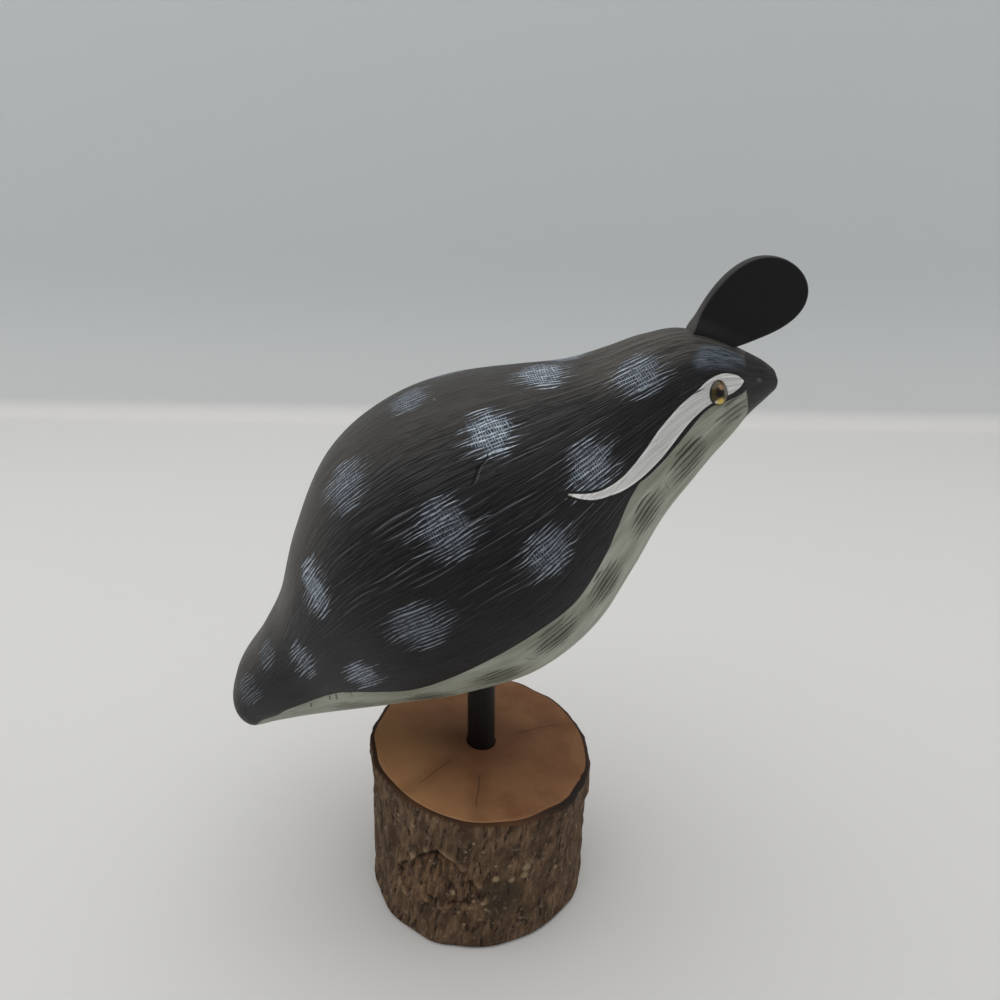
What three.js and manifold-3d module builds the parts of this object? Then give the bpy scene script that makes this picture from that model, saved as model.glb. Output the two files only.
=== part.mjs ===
// Quail carving in painted wood, standing on a black dowel in a slice of log with its bark on.
// Millimetres, +Z up, +X the way the bill points, the carving's mid-plane at y = 0.
// The origin is on the underside of the log, on the axis of the dowel.
import * as THREE from 'three';
import { mergeVertices } from 'three/addons/utils/BufferGeometryUtils.js';
import Module from 'manifold-3d';

// Driving dimensions of the bird.
// One row for each station from tail to bill: the back line (x, z), the belly line (x, z),
// the half width of the section, and its squareness (2 is an ellipse, more is boxier).
const STATIONS = [
  { name: 'tail edge', back: [-66.5, 54.5], belly: [-63.5, 52.0], half: 6.0, square: 2.2 },
  { name: 'tail end', back: [-69.5, 61.0], belly: [-60.5, 53.5], half: 10.0, square: 2.2 },
  { name: 'tail', back: [-68.0, 70.5], belly: [-54.5, 56.0], half: 13.5, square: 2.3 },
  { name: 'tail root', back: [-60.9, 82.0], belly: [-45.5, 59.0], half: 17.5, square: 2.3 },
  { name: 'rump', back: [-53.8, 95.0], belly: [-33.0, 62.0], half: 22.0, square: 2.2 },
  { name: 'back', back: [-47.6, 114.5], belly: [-18.0, 66.0], half: 29.5, square: 2.1 },
  { name: 'saddle', back: [-38.5, 133.8], belly: [1.0, 71.0], half: 37.0, square: 2.0 },
  { name: 'girth', back: [-24.0, 146.4], belly: [18.4, 78.6], half: 39.0, square: 2.0 },
  { name: 'breast', back: [-8.5, 152.8], belly: [31.1, 90.7], half: 36.0, square: 2.0 },
  { name: 'shoulder', back: [8.0, 155.5], belly: [39.6, 105.7], half: 28.5, square: 2.0 },
  { name: 'neck', back: [21.0, 157.5], belly: [46.0, 118.7], half: 21.5, square: 2.0 },
  { name: 'nape', back: [30.0, 160.5], belly: [51.4, 126.8], half: 18.0, square: 2.0 },
  { name: 'cheek', back: [38.0, 163.5], belly: [56.0, 133.5], half: 15.5, square: 2.0 },
  { name: 'crown', back: [47.5, 165.0], belly: [61.0, 140.0], half: 12.5, square: 2.0 },
  { name: 'brow', back: [55.5, 163.0], belly: [63.5, 143.5], half: 9.5, square: 2.0 },
  { name: 'bill root', back: [62.0, 160.0], belly: [65.5, 146.0], half: 7.0, square: 2.0 },
  { name: 'bill', back: [67.0, 157.5], belly: [68.5, 149.0], half: 4.5, square: 2.0 },
  { name: 'bill tip', back: [70.5, 155.0], belly: [71.0, 151.5], half: 2.2, square: 2.0 },
];
const TAIL_ROUNDING = 2.2;
const BILL_ROUNDING = 1.2;
const BODY_RINGS = 50;
const BODY_SIDES = 48;
const CAP_RINGS = 3;

// The topknot is a teardrop of thin wood, its pointed root sunk in the crown.
const TOPKNOT_ROOT = [45.5, 156.9];
const TOPKNOT_HEADING = 37.2;
const TOPKNOT_LENGTH = 34.2;
const TOPKNOT_WIDTH = 12.5;
const TOPKNOT_FULLNESS = 1.35;
const TOPKNOT_BEND = 1.6;
const TOPKNOT_THICKNESS = 4.0;
const TOPKNOT_RIM = 1.3;
const TOPKNOT_SIDES = 40;
const TOPKNOT_RIM_STEPS = 3;
const TOPKNOT_FACE_SHARES = [0.3, 0.5, 0.62, 0.74, 0.87];
const TOPKNOT_FAT_PLACE = [63.0, 172.0];
const CROWN_REAR = [49.0, 164.7];
const CROWN_FRONT = [61.5, 160.5];
const ROOT_FLARE_REAR = 1.8;
const ROOT_FLARE_FRONT = 0.6;
const ROOT_FLARE_HEIGHT = 4.0;

// The eyes are domed glass set in shallow round pockets.
const EYE_PLACE = [53.6, 12.7, 152.9];
const EYE_FACING = [0.37, 0.9, 0.23];
const EYE_DIAMETER = 5.8;
const EYE_DOME = 1.7;
const EYE_SEAT = 1.6;
const EYE_SINK = 0.4;
const EYE_SIDES = 24;
const EYE_DOME_STEPS = 5;

// The dowel: five sixteenths of an inch, let into belly and log.
const DOWEL_DIAMETER = 8.0;
const DOWEL_IN_LOG = 18.0;
const DOWEL_IN_BELLY = 12.0;
const BELLY_AT_DOWEL = 71.0;
const DOWEL_SIDES = 32;

// The log slice: two and a half inches across, sawn a little askew on top, with a swelling
// low on one side where a root began.
const LOG_TOP_RADIUS = 32.0;
const LOG_BOTTOM_RADIUS = 32.2;
const LOG_HEIGHT = 44.5;
const LOG_TOP_SLOPE = -0.095;
const LOG_LEAN = [-0.6, -1.8];
const LOG_SIDES = 60;
const LOG_RINGS = 6;
const LOG_SAW_EDGE = 1.2;
const LOG_FOOT_EDGE = 0.8;
const LOG_FOOT_SHARE = 0.03;
const BARK_SWELL = 0.45;
const BARK_RIDGE = 0.3;
const ROOT_SWELL = 1.3;
const ROOT_SWELL_TURN = 230;
const ROOT_SWELL_SPREAD = 32;

// Pieces that touch keep this much air.
const GAP = 0.3;

const TAU = 2 * Math.PI;
const DEGREE = Math.PI / 180;

const wasm = await Module();
wasm.setup();

// A mesh from a list of points and a list of triangles.
function surface(points, triangles) {
  const geometry = new THREE.BufferGeometry();
  geometry.setAttribute('position', new THREE.Float32BufferAttribute(points.flat(), 3));
  geometry.setIndex(triangles.flat());
  return geometry;
}

// Skin over a run of rings with the same number of points, closed by a point at each end.
// The rings turn anticlockwise when they are looked at from the end that they run towards.
function skin(rings, first, last) {
  const sides = rings[0].length;
  const points = [first, ...rings.flat(), last];
  const triangles = [];
  const at = (ring, side) => 1 + ring * sides + (side % sides);
  for (let side = 0; side < sides; side += 1) {
    triangles.push([0, at(0, side + 1), at(0, side)]);
    for (let ring = 0; ring + 1 < rings.length; ring += 1) {
      triangles.push([at(ring, side), at(ring, side + 1), at(ring + 1, side + 1)]);
      triangles.push([at(ring, side), at(ring + 1, side + 1), at(ring + 1, side)]);
    }
    triangles.push([at(rings.length - 1, side), at(rings.length - 1, side + 1), points.length - 1]);
  }
  return surface(points, triangles);
}

// A closed mesh as a solid that can be cut, and back.
function solid(geometry) {
  const bare = geometry.clone();
  bare.deleteAttribute('normal');
  bare.deleteAttribute('uv');
  const merged = mergeVertices(bare, 1e-4);
  return new wasm.Manifold(new wasm.Mesh({
    numProp: 3,
    vertProperties: new Float32Array(merged.attributes.position.array),
    triVerts: new Uint32Array(merged.index.array),
  }));
}

function geometryOf(manifold) {
  const mesh = manifold.getMesh();
  const geometry = new THREE.BufferGeometry();
  geometry.setAttribute('position', new THREE.BufferAttribute(mesh.vertProperties, 3));
  geometry.setIndex(new THREE.BufferAttribute(mesh.triVerts, 1));
  return geometry;
}

// A round peg from one height to another on the dowel's axis.
function peg(radius, low, high) {
  const geometry = new THREE.CylinderGeometry(radius, radius, high - low, DOWEL_SIDES);
  geometry.rotateX(Math.PI / 2);
  geometry.translate(0, 0, (low + high) / 2);
  return geometry;
}

// Smooth curve through the stations: a cubic between each two, its slope at a station
// the weighted mean of the slopes on both sides.
function smoothCurve(knots, values) {
  const steps = knots.slice(1).map((knot, i) => knot - knots[i]);
  const rises = steps.map((step, i) => (values[i + 1] - values[i]) / step);
  const slopes = values.map((_, i) => {
    if (i === 0) return rises[0];
    if (i === rises.length) return rises[i - 1];
    return (rises[i - 1] * steps[i] + rises[i] * steps[i - 1]) / (steps[i - 1] + steps[i]);
  });
  return (along) => {
    let i = 0;
    while (i < steps.length - 1 && along >= knots[i + 1]) i += 1;
    const t = (along - knots[i]) / steps[i];
    const keep = (1 + 2 * t) * (1 - t) ** 2;
    const leave = t * (1 - t) ** 2 * steps[i] * slopes[i];
    const arrive = (t - 1) * t ** 2 * steps[i] * slopes[i + 1];
    return keep * values[i] + leave + (1 - keep) * values[i + 1] + arrive;
  };
}

// Distance along the bird, measured on the line halfway between back and belly.
function stationKnots() {
  const knots = [0];
  for (let i = 1; i < STATIONS.length; i += 1) {
    const middle = (s) => [(s.back[0] + s.belly[0]) / 2, (s.back[1] + s.belly[1]) / 2];
    const [x0, z0] = middle(STATIONS[i - 1]);
    const [x1, z1] = middle(STATIONS[i]);
    knots.push(knots[i - 1] + Math.hypot(x1 - x0, z1 - z0));
  }
  return knots;
}

const knots = stationKnots();
const bodyLength = knots[knots.length - 1];
const backX = smoothCurve(knots, STATIONS.map((s) => s.back[0]));
const backZ = smoothCurve(knots, STATIONS.map((s) => s.back[1]));
const bellyX = smoothCurve(knots, STATIONS.map((s) => s.belly[0]));
const bellyZ = smoothCurve(knots, STATIONS.map((s) => s.belly[1]));
const halfWidth = smoothCurve(knots, STATIONS.map((s) => s.half));
const squareness = smoothCurve(knots, STATIONS.map((s) => s.square));

// Both ends are rounded off: the section shrinks as a quarter circle does.
function endRounding(along) {
  const quarter = (distance, radius) => {
    const left = 1 - Math.min(Math.max(distance / radius, 0), 1);
    return Math.sqrt(1 - left * left);
  };
  return quarter(along, TAIL_ROUNDING) * quarter(bodyLength - along, BILL_ROUNDING);
}

// A point of the body: along it from the tail, and round it from the back over the left flank.
function bodyPoint(along, round) {
  const shrink = endRounding(along);
  const power = 2 / squareness(along);
  const swell = (value) => Math.sign(value) * Math.abs(value) ** power;
  const up = shrink * swell(Math.cos(round)) / 2;
  const out = shrink * swell(Math.sin(round));
  return [
    (backX(along) + bellyX(along)) / 2 + up * (backX(along) - bellyX(along)),
    halfWidth(along) * out,
    (backZ(along) + bellyZ(along)) / 2 + up * (backZ(along) - bellyZ(along)),
  ];
}

// Stations of the rings: even along the body, and packed as a quarter circle at both ends.
function ringStations() {
  const stations = [];
  for (let i = 1; i <= CAP_RINGS; i += 1) {
    stations.push(TAIL_ROUNDING * (1 - Math.cos((i / CAP_RINGS) * Math.PI / 2)));
  }
  const span = bodyLength - TAIL_ROUNDING - BILL_ROUNDING;
  for (let i = 1; i <= BODY_RINGS; i += 1) {
    stations.push(TAIL_ROUNDING + span * (i / (BODY_RINGS + 1)));
  }
  for (let i = CAP_RINGS; i >= 1; i -= 1) {
    stations.push(bodyLength - BILL_ROUNDING * (1 - Math.cos((i / CAP_RINGS) * Math.PI / 2)));
  }
  return stations;
}

// The whole bird but for its topknot and eyes, carved as one.
function bodyBlank() {
  const rings = ringStations().map((along) => {
    const ring = [];
    for (let side = 0; side < BODY_SIDES; side += 1) {
      ring.push(bodyPoint(along, -(side / BODY_SIDES) * TAU));
    }
    return ring;
  });
  return skin(rings, bodyPoint(0, 0), bodyPoint(bodyLength, 0));
}

// The teardrop's outline in the mid-plane: round from its pointed root, over the rear edge,
// the broad end and the front edge to the root again. It bends a little along its length.
function teardrop(turn) {
  const share = (1 - Math.cos(turn)) / 2;
  const along = TOPKNOT_LENGTH * share;
  const bend = 4 * TOPKNOT_BEND * share * (1 - share);
  const swell = Math.sin(turn) * Math.abs(Math.sin(turn / 2)) ** TOPKNOT_FULLNESS;
  const across = bend + TOPKNOT_WIDTH * swell;
  const heading = TOPKNOT_HEADING * DEGREE;
  return [
    TOPKNOT_ROOT[0] + along * Math.cos(heading) - across * Math.sin(heading),
    TOPKNOT_ROOT[1] + along * Math.sin(heading) + across * Math.cos(heading),
  ];
}

// Half thickness of the topknot at (x, z): thin above, thicker where it enters the crown.
function topknotHalf(x, z) {
  const run = [CROWN_FRONT[0] - CROWN_REAR[0], CROWN_FRONT[1] - CROWN_REAR[1]];
  const span = Math.hypot(run[0], run[1]);
  const dx = x - CROWN_REAR[0];
  const dz = z - CROWN_REAR[1];
  const forward = THREE.MathUtils.clamp((dx * run[0] + dz * run[1]) / span ** 2, 0, 1);
  const height = (dz * run[0] - dx * run[1]) / span;
  const flare = THREE.MathUtils.lerp(ROOT_FLARE_REAR, ROOT_FLARE_FRONT, forward);
  const root = 1 - THREE.MathUtils.smoothstep(height, 0, ROOT_FLARE_HEIGHT);
  return TOPKNOT_THICKNESS / 2 + flare * root;
}

// The flat teardrop with its rim rounded over, grown on all sides by a gap when it cuts.
function topknotBlank(grow) {
  const [fatX, fatZ] = TOPKNOT_FAT_PLACE;
  const ring = (scale, inset, drop, flank) => {
    const points = [];
    for (let side = 0; side < TOPKNOT_SIDES; side += 1) {
      const [x0, z0] = teardrop((side / TOPKNOT_SIDES) * TAU);
      const reach = scale * (1 + (grow - inset) / Math.hypot(x0 - fatX, z0 - fatZ));
      const x = fatX + (x0 - fatX) * reach;
      const z = fatZ + (z0 - fatZ) * reach;
      points.push([x, flank * (topknotHalf(x, z) + grow - drop), z]);
    }
    return points;
  };
  const flankRings = (flank) => {
    const rings = TOPKNOT_FACE_SHARES.map((scale) => ring(scale, TOPKNOT_RIM, 0, flank));
    for (let i = 0; i <= TOPKNOT_RIM_STEPS; i += 1) {
      const lift = (1 - i / TOPKNOT_RIM_STEPS) * Math.PI / 2;
      const inset = TOPKNOT_RIM * (1 - Math.cos(lift));
      const drop = TOPKNOT_RIM * (1 - Math.sin(lift));
      rings.push(ring(1, inset, drop, flank));
    }
    return rings;
  };
  const half = topknotHalf(fatX, fatZ) + grow;
  const rings = [...flankRings(-1), ...flankRings(1).reverse()];
  return skin(rings, [fatX, -half, fatZ], [fatX, half, fatZ]);
}

// Turns a shape that stands on the Y axis so that it looks out of the head at the eye's place.
function setInHead(geometry, side) {
  const facing = new THREE.Vector3(EYE_FACING[0], side * EYE_FACING[1], EYE_FACING[2]).normalize();
  const upright = new THREE.Vector3(0, 1, 0);
  geometry.applyQuaternion(new THREE.Quaternion().setFromUnitVectors(upright, facing));
  geometry.translate(EYE_PLACE[0], side * EYE_PLACE[1], EYE_PLACE[2]);
  return geometry;
}

// A short glass stub with a domed face, the dome a cap of a sphere.
function eye(side) {
  const radius = EYE_DIAMETER / 2;
  const ball = (radius ** 2 + EYE_DOME ** 2) / (2 * EYE_DOME);
  const rim = Math.asin(radius / ball);
  const profile = [new THREE.Vector2(0, -EYE_SEAT), new THREE.Vector2(radius, -EYE_SEAT)];
  for (let i = 0; i < EYE_DOME_STEPS; i += 1) {
    const lean = rim * (1 - i / EYE_DOME_STEPS);
    const height = ball * (Math.cos(lean) - Math.cos(rim)) - EYE_SINK;
    profile.push(new THREE.Vector2(ball * Math.sin(lean), height));
  }
  profile.push(new THREE.Vector2(0, EYE_DOME - EYE_SINK));
  return setInHead(new THREE.LatheGeometry(profile, EYE_SIDES), side);
}

// The round pocket that an eye sits in, open to the outside.
function eyePocket(side) {
  const radius = EYE_DIAMETER / 2 + GAP;
  const height = EYE_SEAT + GAP + EYE_DIAMETER;
  const geometry = new THREE.CylinderGeometry(radius, radius, height, EYE_SIDES);
  geometry.translate(0, height / 2 - EYE_SEAT - GAP, 0);
  return setInHead(geometry, side);
}

// Height of the sawn top of the log, which slopes down towards the bird's breast.
function logTop(x) {
  return LOG_HEIGHT + LOG_TOP_SLOPE * x;
}

// Radius of the bark: an uneven round with low ridges that wander as they climb.
function barkRadius(turn, share) {
  const plain = THREE.MathUtils.lerp(LOG_BOTTOM_RADIUS, LOG_TOP_RADIUS, share);
  const swell = 0.6 * Math.cos(2 * turn + 0.7) + 0.4 * Math.cos(5 * turn + 2.1);
  const ridge = Math.cos(13 * turn + 3 * share) * (0.6 + 0.4 * Math.cos(3 * turn + 9 * share));
  const away = (turn / DEGREE - ROOT_SWELL_TURN) / ROOT_SWELL_SPREAD;
  const root = Math.exp(-(away ** 2)) * (1 - share) ** 2;
  return plain + BARK_SWELL * swell + BARK_RIDGE * ridge + ROOT_SWELL * root;
}

// The log slice, with its bark and a sawn edge that is eased at top and bottom.
function logBlank() {
  const ring = (share, inset, drop) => {
    const points = [];
    for (let side = 0; side < LOG_SIDES; side += 1) {
      const turn = (side / LOG_SIDES) * TAU;
      const radius = barkRadius(turn, share) - inset;
      const x = radius * Math.cos(turn) + LOG_LEAN[0] * (1 - share);
      const y = radius * Math.sin(turn) + LOG_LEAN[1] * (1 - share);
      points.push([x, y, share * (logTop(x) - drop)]);
    }
    return points;
  };
  const rings = [ring(0, LOG_FOOT_EDGE, 0)];
  for (let i = 1; i <= LOG_RINGS; i += 1) {
    rings.push(ring(LOG_FOOT_SHARE + (1 - LOG_FOOT_SHARE) * (i - 1) / LOG_RINGS, 0, LOG_SAW_EDGE));
  }
  rings.push(ring(1, 0, LOG_SAW_EDGE));
  rings.push(ring(1, LOG_SAW_EDGE / 4, LOG_SAW_EDGE / 3));
  rings.push(ring(1, LOG_SAW_EDGE, 0));
  return skin(rings, [0, 0, 0], [0, 0, logTop(0)]);
}

// The named pieces, each with the colour and gloss of its surface.
function piece(name, geometry, colour, roughness, metalness) {
  const material = new THREE.MeshStandardMaterial({ color: colour, roughness, metalness });
  const mesh = new THREE.Mesh(geometry, material);
  mesh.name = name;
  return mesh;
}

const dowelRadius = DOWEL_DIAMETER / 2;
const dowelFoot = LOG_HEIGHT - DOWEL_IN_LOG;
const dowelHead = BELLY_AT_DOWEL + DOWEL_IN_BELLY;

// The dowel's holes start in the air between log and belly.
const openAir = (LOG_HEIGHT + BELLY_AT_DOWEL) / 2;
const bellyHole = solid(peg(dowelRadius + GAP, openAir, dowelHead + GAP));
const logHole = solid(peg(dowelRadius + GAP, dowelFoot - GAP, openAir));

const body = solid(bodyBlank())
  .subtract(bellyHole)
  .subtract(solid(topknotBlank(GAP)))
  .subtract(solid(eyePocket(1)))
  .subtract(solid(eyePocket(-1)));
const log = solid(logBlank()).subtract(logHole);

const quail = new THREE.Group();
quail.add(piece('quail_body', geometryOf(body), 0x2b2b2e, 0.55, 0));
quail.add(piece('topknot', topknotBlank(0), 0x232326, 0.6, 0));
quail.add(piece('eye_left', eye(1), 0xb07a1e, 0.12, 0));
quail.add(piece('eye_right', eye(-1), 0xb07a1e, 0.12, 0));
quail.add(piece('dowel', peg(dowelRadius, dowelFoot, dowelHead), 0x131213, 0.45, 0));
quail.add(piece('log_base', geometryOf(log), 0x5a4331, 0.85, 0));

export default quail;
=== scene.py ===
# %% [markdown]
# A folk carving of a quail, made again in Blender.
# The real thing is a plump bird whittled from one piece of soft wood, painted by hand, with a
# thin wooden topknot let into its crown and two small glass eyes. A black dowel holds it over a
# slice of log that still has its bark.
# The solid model gives every piece its place and size. This script keeps those, and makes the
# surfaces again with the fine shape and the paint that a hand would leave.
# All lengths below are in millimetres until a mesh is written, where they become metres.

# %% Load the solid model as a fixed frame
from functools import partial

import bpy
import numpy as np
from mathutils import Matrix


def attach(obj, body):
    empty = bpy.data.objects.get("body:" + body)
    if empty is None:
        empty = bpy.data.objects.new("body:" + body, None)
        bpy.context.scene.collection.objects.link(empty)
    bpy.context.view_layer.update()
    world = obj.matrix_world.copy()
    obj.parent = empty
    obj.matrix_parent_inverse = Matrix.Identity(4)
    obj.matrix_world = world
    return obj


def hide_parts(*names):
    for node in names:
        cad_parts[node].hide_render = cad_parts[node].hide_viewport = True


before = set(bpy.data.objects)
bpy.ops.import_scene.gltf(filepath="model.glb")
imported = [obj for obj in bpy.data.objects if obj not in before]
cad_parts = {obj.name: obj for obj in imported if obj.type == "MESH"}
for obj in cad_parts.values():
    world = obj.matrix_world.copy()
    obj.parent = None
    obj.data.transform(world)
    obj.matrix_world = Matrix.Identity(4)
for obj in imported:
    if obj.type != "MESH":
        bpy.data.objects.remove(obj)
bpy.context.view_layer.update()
MM = 0.001
print("solid pieces:", sorted(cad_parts))

# %% [markdown]
# Four small tools for materials. Paint colours are read off a swatch as sRGB hex values, but a
# shader adds light, so it wants linear values. The second tool adds one shader node and fills
# its inputs. The third starts a material, and the last lays coats of paint over each other, as
# thinly as their shares say.

# %% Colour and node tools
def linear(swatch):
    """sRGB hex to linear RGBA: a short straight piece near black, then a power of 2.4."""
    code = np.array([int(swatch[i:i + 2], 16) for i in (1, 3, 5)]) / 255
    light = np.where(code <= 0.04045, code / 12.92, ((code + 0.055) / 1.055) ** 2.4)
    return (*light.tolist(), 1.0)


TIMES, TIMES_PLUS, PLUS, MINUS, DIVIDE, FLOOR, FRACT, ABSOLUTE, MAXIMUM = (
    ("Math", {"operation": operation}) for operation in (
        "MULTIPLY", "MULTIPLY_ADD", "ADD", "SUBTRACT", "DIVIDE", "FLOOR", "FRACT", "ABSOLUTE", "MAXIMUM"))
LENGTH, DISTANCE, DOT, STRETCH = (
    ("VectorMath", {"operation": operation}) for operation in (
        "LENGTH", "DISTANCE", "DOT_PRODUCT", "MULTIPLY"))
PAINT_OVER = ("Mix", {"data_type": "RGBA"})
RANGE, SOFT_STEP = ("MapRange", {}), ("MapRange", {"interpolation_type": "SMOOTHSTEP"})
CELLS, NOISE, SPLIT, JOIN, BUMP, PLACES = (
    (kind, {}) for kind in ("Mapping", "TexNoise", "SeparateXYZ", "CombineXYZ", "Bump", "TexCoord"))


def add_node(tree, recipe, *inputs, to=None, **named):
    """Adds a shader node by its recipe, a kind and its own choices, and feeds its inputs in order
    or by name. A node or a socket is linked, None is passed over, a hex swatch is made linear and
    anything else is set as a value. The node's first output in use is linked to the socket to."""
    kind, choices = recipe
    node = tree.nodes.new("ShaderNode" + kind)
    for name, choice in choices.items():
        setattr(node, name, choice)
    sockets = [socket for socket in node.inputs if socket.enabled]
    for socket, value in [*zip(sockets, inputs), *((node.inputs[key], v) for key, v in named.items())]:
        if isinstance(value, bpy.types.Node):
            value = next(output for output in value.outputs if output.enabled)
        if isinstance(value, bpy.types.NodeSocket):
            tree.links.new(value, socket)
        elif value is not None:
            socket.default_value = linear(value) if isinstance(value, str) else value
    if to is not None:
        tree.links.new(next(output for output in node.outputs if output.enabled), to)
    return node


def new_material(name):
    """An empty material, the tool that adds a node to it, and its shader."""
    material = bpy.data.materials.new(name)
    material.use_nodes = True
    material.node_tree.nodes.clear()
    add = partial(add_node, material.node_tree)
    shader = add(("BsdfPrincipled", {}))
    add(("OutputMaterial", {}), shader)
    return material, add, shader


def painted(below, *coats):
    """What is below, with coats laid over it in order, in the material at hand. A coat is its
    paint and some shares, whose product is how much of it covers."""
    for paint, cover, *shares in coats:
        for share in shares:
            cover = add(TIMES, cover, share)
        below = add(PAINT_OVER, cover, below, paint)
    return below

# %% [markdown]
# Five small tools for shapes. A carver works from a few cross-sections and blends between
# them by eye. The first function does the same with numbers: a smooth curve through the values
# at the stations. The next two go over between 0 and 1 without a corner, the fourth makes
# points of coordinates, and the last makes unevenness: random heights on a coarse lattice,
# joined end to end where the lattice runs round a piece.

# %% Curves and unevenness
def smooth_curve(knots, values, at):
    """A cubic between each two knots. Its slope at a knot is the mean of the slopes on both
    sides, each weighted by the length of the other side."""
    knots, values = np.asarray(knots, float), np.asarray(values, float)
    steps = np.diff(knots)
    rises = np.diff(values) / steps
    inner = (rises[:-1] * steps[1:] + rises[1:] * steps[:-1]) / (steps[1:] + steps[:-1])
    slopes = np.concatenate([rises[:1], inner, rises[-1:]])
    cell = np.clip(np.searchsorted(knots, at, side="right") - 1, 0, len(steps) - 1)
    t = (at - knots[cell]) / steps[cell]
    keep = (1 + 2 * t) * (1 - t) ** 2
    leave = t * (1 - t) ** 2 * steps[cell] * slopes[cell]
    arrive = (t - 1) * t ** 2 * steps[cell] * slopes[cell + 1]
    return keep * values[cell] + leave + (1 - keep) * values[cell + 1] + arrive


def ease(value, low, high):
    """0 below low, 1 above high, and a smooth S between them."""
    t = np.clip((value - low) / (high - low), 0, 1)
    return t * t * (3 - 2 * t)


def bell(value, width):
    """1 at nought, falling both ways: e to the power of minus the square of value over width."""
    return np.exp(-(value / width) ** 2)


def together(*axes):
    """Coordinates, blown up to one shape, as points."""
    return np.stack(np.broadcast_arrays(*axes), axis=-1)


def unevenness(around, up, cells, seed):
    """Random heights from -1 to 1 on a lattice of cells (round, up), blended by an S curve.
    around and up run from 0 to 1, and the lattice closes on itself round the piece."""
    rng = np.random.default_rng(seed)
    heights = rng.uniform(-1, 1, (cells[0], cells[1] + 2))
    x, y = np.asarray(around) % 1 * cells[0], np.clip(up, 0, 1) * cells[1]
    i, j = np.floor(x).astype(int) % cells[0], np.floor(y).astype(int)
    a, b = ease(x - np.floor(x), 0, 1), ease(y - j, 0, 1)
    near = heights[i, j] * (1 - b) + heights[i, j + 1] * b
    far_i = (i + 1) % cells[0]
    far = heights[far_i, j] * (1 - b) + heights[far_i, j + 1] * b
    return near * (1 - a) + far * a


# %% [markdown]
# Every piece here is a skin over a run of rings: cross-sections of the bird, circles of the
# dowel, outlines of the log. One function turns a grid of points (rings by points round) into
# a closed mesh. The last point round joins the first, and a single point closes each end.
# Values that the paint needs, such as the distance to a painted edge, ride along as attributes.

# %% From a grid of points to a mesh
def with_ends(grid):
    """The grid's rows one after another, with the mean of the end rows before and after."""
    flat = grid.reshape(-1, *grid.shape[2:])
    return np.concatenate([grid[:1].mean(axis=1), flat, grid[-1:].mean(axis=1)])


def make_skin(name, grid, **attributes):
    """Closed mesh over a grid (rings, points round, xyz in mm) with its faces outwards when
    the points turn anticlockwise, seen from the end that the rings run towards."""
    rings, sides = grid.shape[:2]
    number = 1 + np.arange(rings * sides).reshape(rings, sides)
    beside = np.roll(number, -1, axis=1)
    quads = np.stack([number[:-1], beside[:-1], beside[1:], number[1:]], -1).reshape(-1, 4)
    last = rings * sides + 1
    foot = np.stack([np.zeros(sides, int), beside[0], number[0]], -1)
    head = np.stack([number[-1], beside[-1], np.full(sides, last)], -1)
    mesh = bpy.data.meshes.new(name)
    faces = quads.tolist() + foot.tolist() + head.tolist()
    mesh.from_pydata((with_ends(grid) * MM).tolist(), [], faces)
    for key, values in attributes.items():
        values = with_ends(np.asarray(values, float))
        kind, field = ("FLOAT", "value") if values.ndim == 1 else ("FLOAT_VECTOR", "vector")
        layer = mesh.attributes.new(key, kind, "POINT")
        layer.data.foreach_set(field, values.astype(np.float32).ravel())
    mesh.polygons.foreach_set("use_smooth", np.ones(len(faces), bool))
    mesh.update()
    piece = bpy.data.objects.new(name, mesh)
    bpy.context.scene.collection.objects.link(piece)
    print(name, "triangles:", 2 * len(quads) + 2 * sides)
    return piece


def place(piece, node, material):
    """Hangs a piece on the root body in place of its solid, which is hidden, and lets it wear its material.
    """
    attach(piece, "root")
    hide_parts(node)
    piece.data.materials.append(material)
    print(node, "wears", material.name, "of", len(material.node_tree.nodes), "nodes")


# %% [markdown]
# The camera stands a hand's height above the bird's head and eighteen centimetres in front of
# its flank. It looks down a little over twenty degrees, with a hair of tilt. A short lens from so
# near makes the head look big and the base small, so the distance matters as much as the
# direction.

# %% Camera
CAMERA_PLACE = np.array([4.6, -178.0, 194.5])
LOOK_DOWN = np.radians(22.5)
CAMERA_ROLL = np.radians(-0.8)
LENS_MM = 27.0
FILM_MM = 36.0

ahead = np.array([0.0, np.cos(LOOK_DOWN), -np.sin(LOOK_DOWN)])
level = np.array([1.0, 0.0, 0.0])
down = np.cross(ahead, level)
rightwards = np.cos(CAMERA_ROLL) * level + np.sin(CAMERA_ROLL) * down
downwards = -np.sin(CAMERA_ROLL) * level + np.cos(CAMERA_ROLL) * down
lens = bpy.data.cameras.new("camera")
lens.lens, lens.sensor_width, lens.clip_start = LENS_MM, FILM_MM, 0.01
camera = bpy.data.objects.new("camera", lens)
placing = np.eye(4)
placing[:3, :3] = np.stack([rightwards, -downwards, -ahead], axis=1)
placing[:3, 3] = CAMERA_PLACE * MM
camera.matrix_world = Matrix(placing.tolist())
bpy.context.scene.collection.objects.link(camera)
bpy.context.scene.camera = camera
print("camera looks down", round(float(np.degrees(LOOK_DOWN)), 1), "degrees")

# %% [markdown]
# The setting is a light tent: one pale sheet that lies on the table and is swept up behind, a
# broad soft light above and a weaker one on each side. Soft light is kind to dark paint, since
# the sheen of the brushwork is then the reflection of a wide ceiling and not of a lamp. The
# sheet turns up in a quarter circle, so the horizon is soft. Where it rises it is painted a
# little greyer, and greyer still higher up: painted shade for the light falling off up the wall.

# %% Swept sheet and soft lights
BACKDROP_AWAY = 477.0
SHEET_HALF = 1500.0
SWEEP_RADIUS, BEND_POINTS = 16.0, 25
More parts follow.
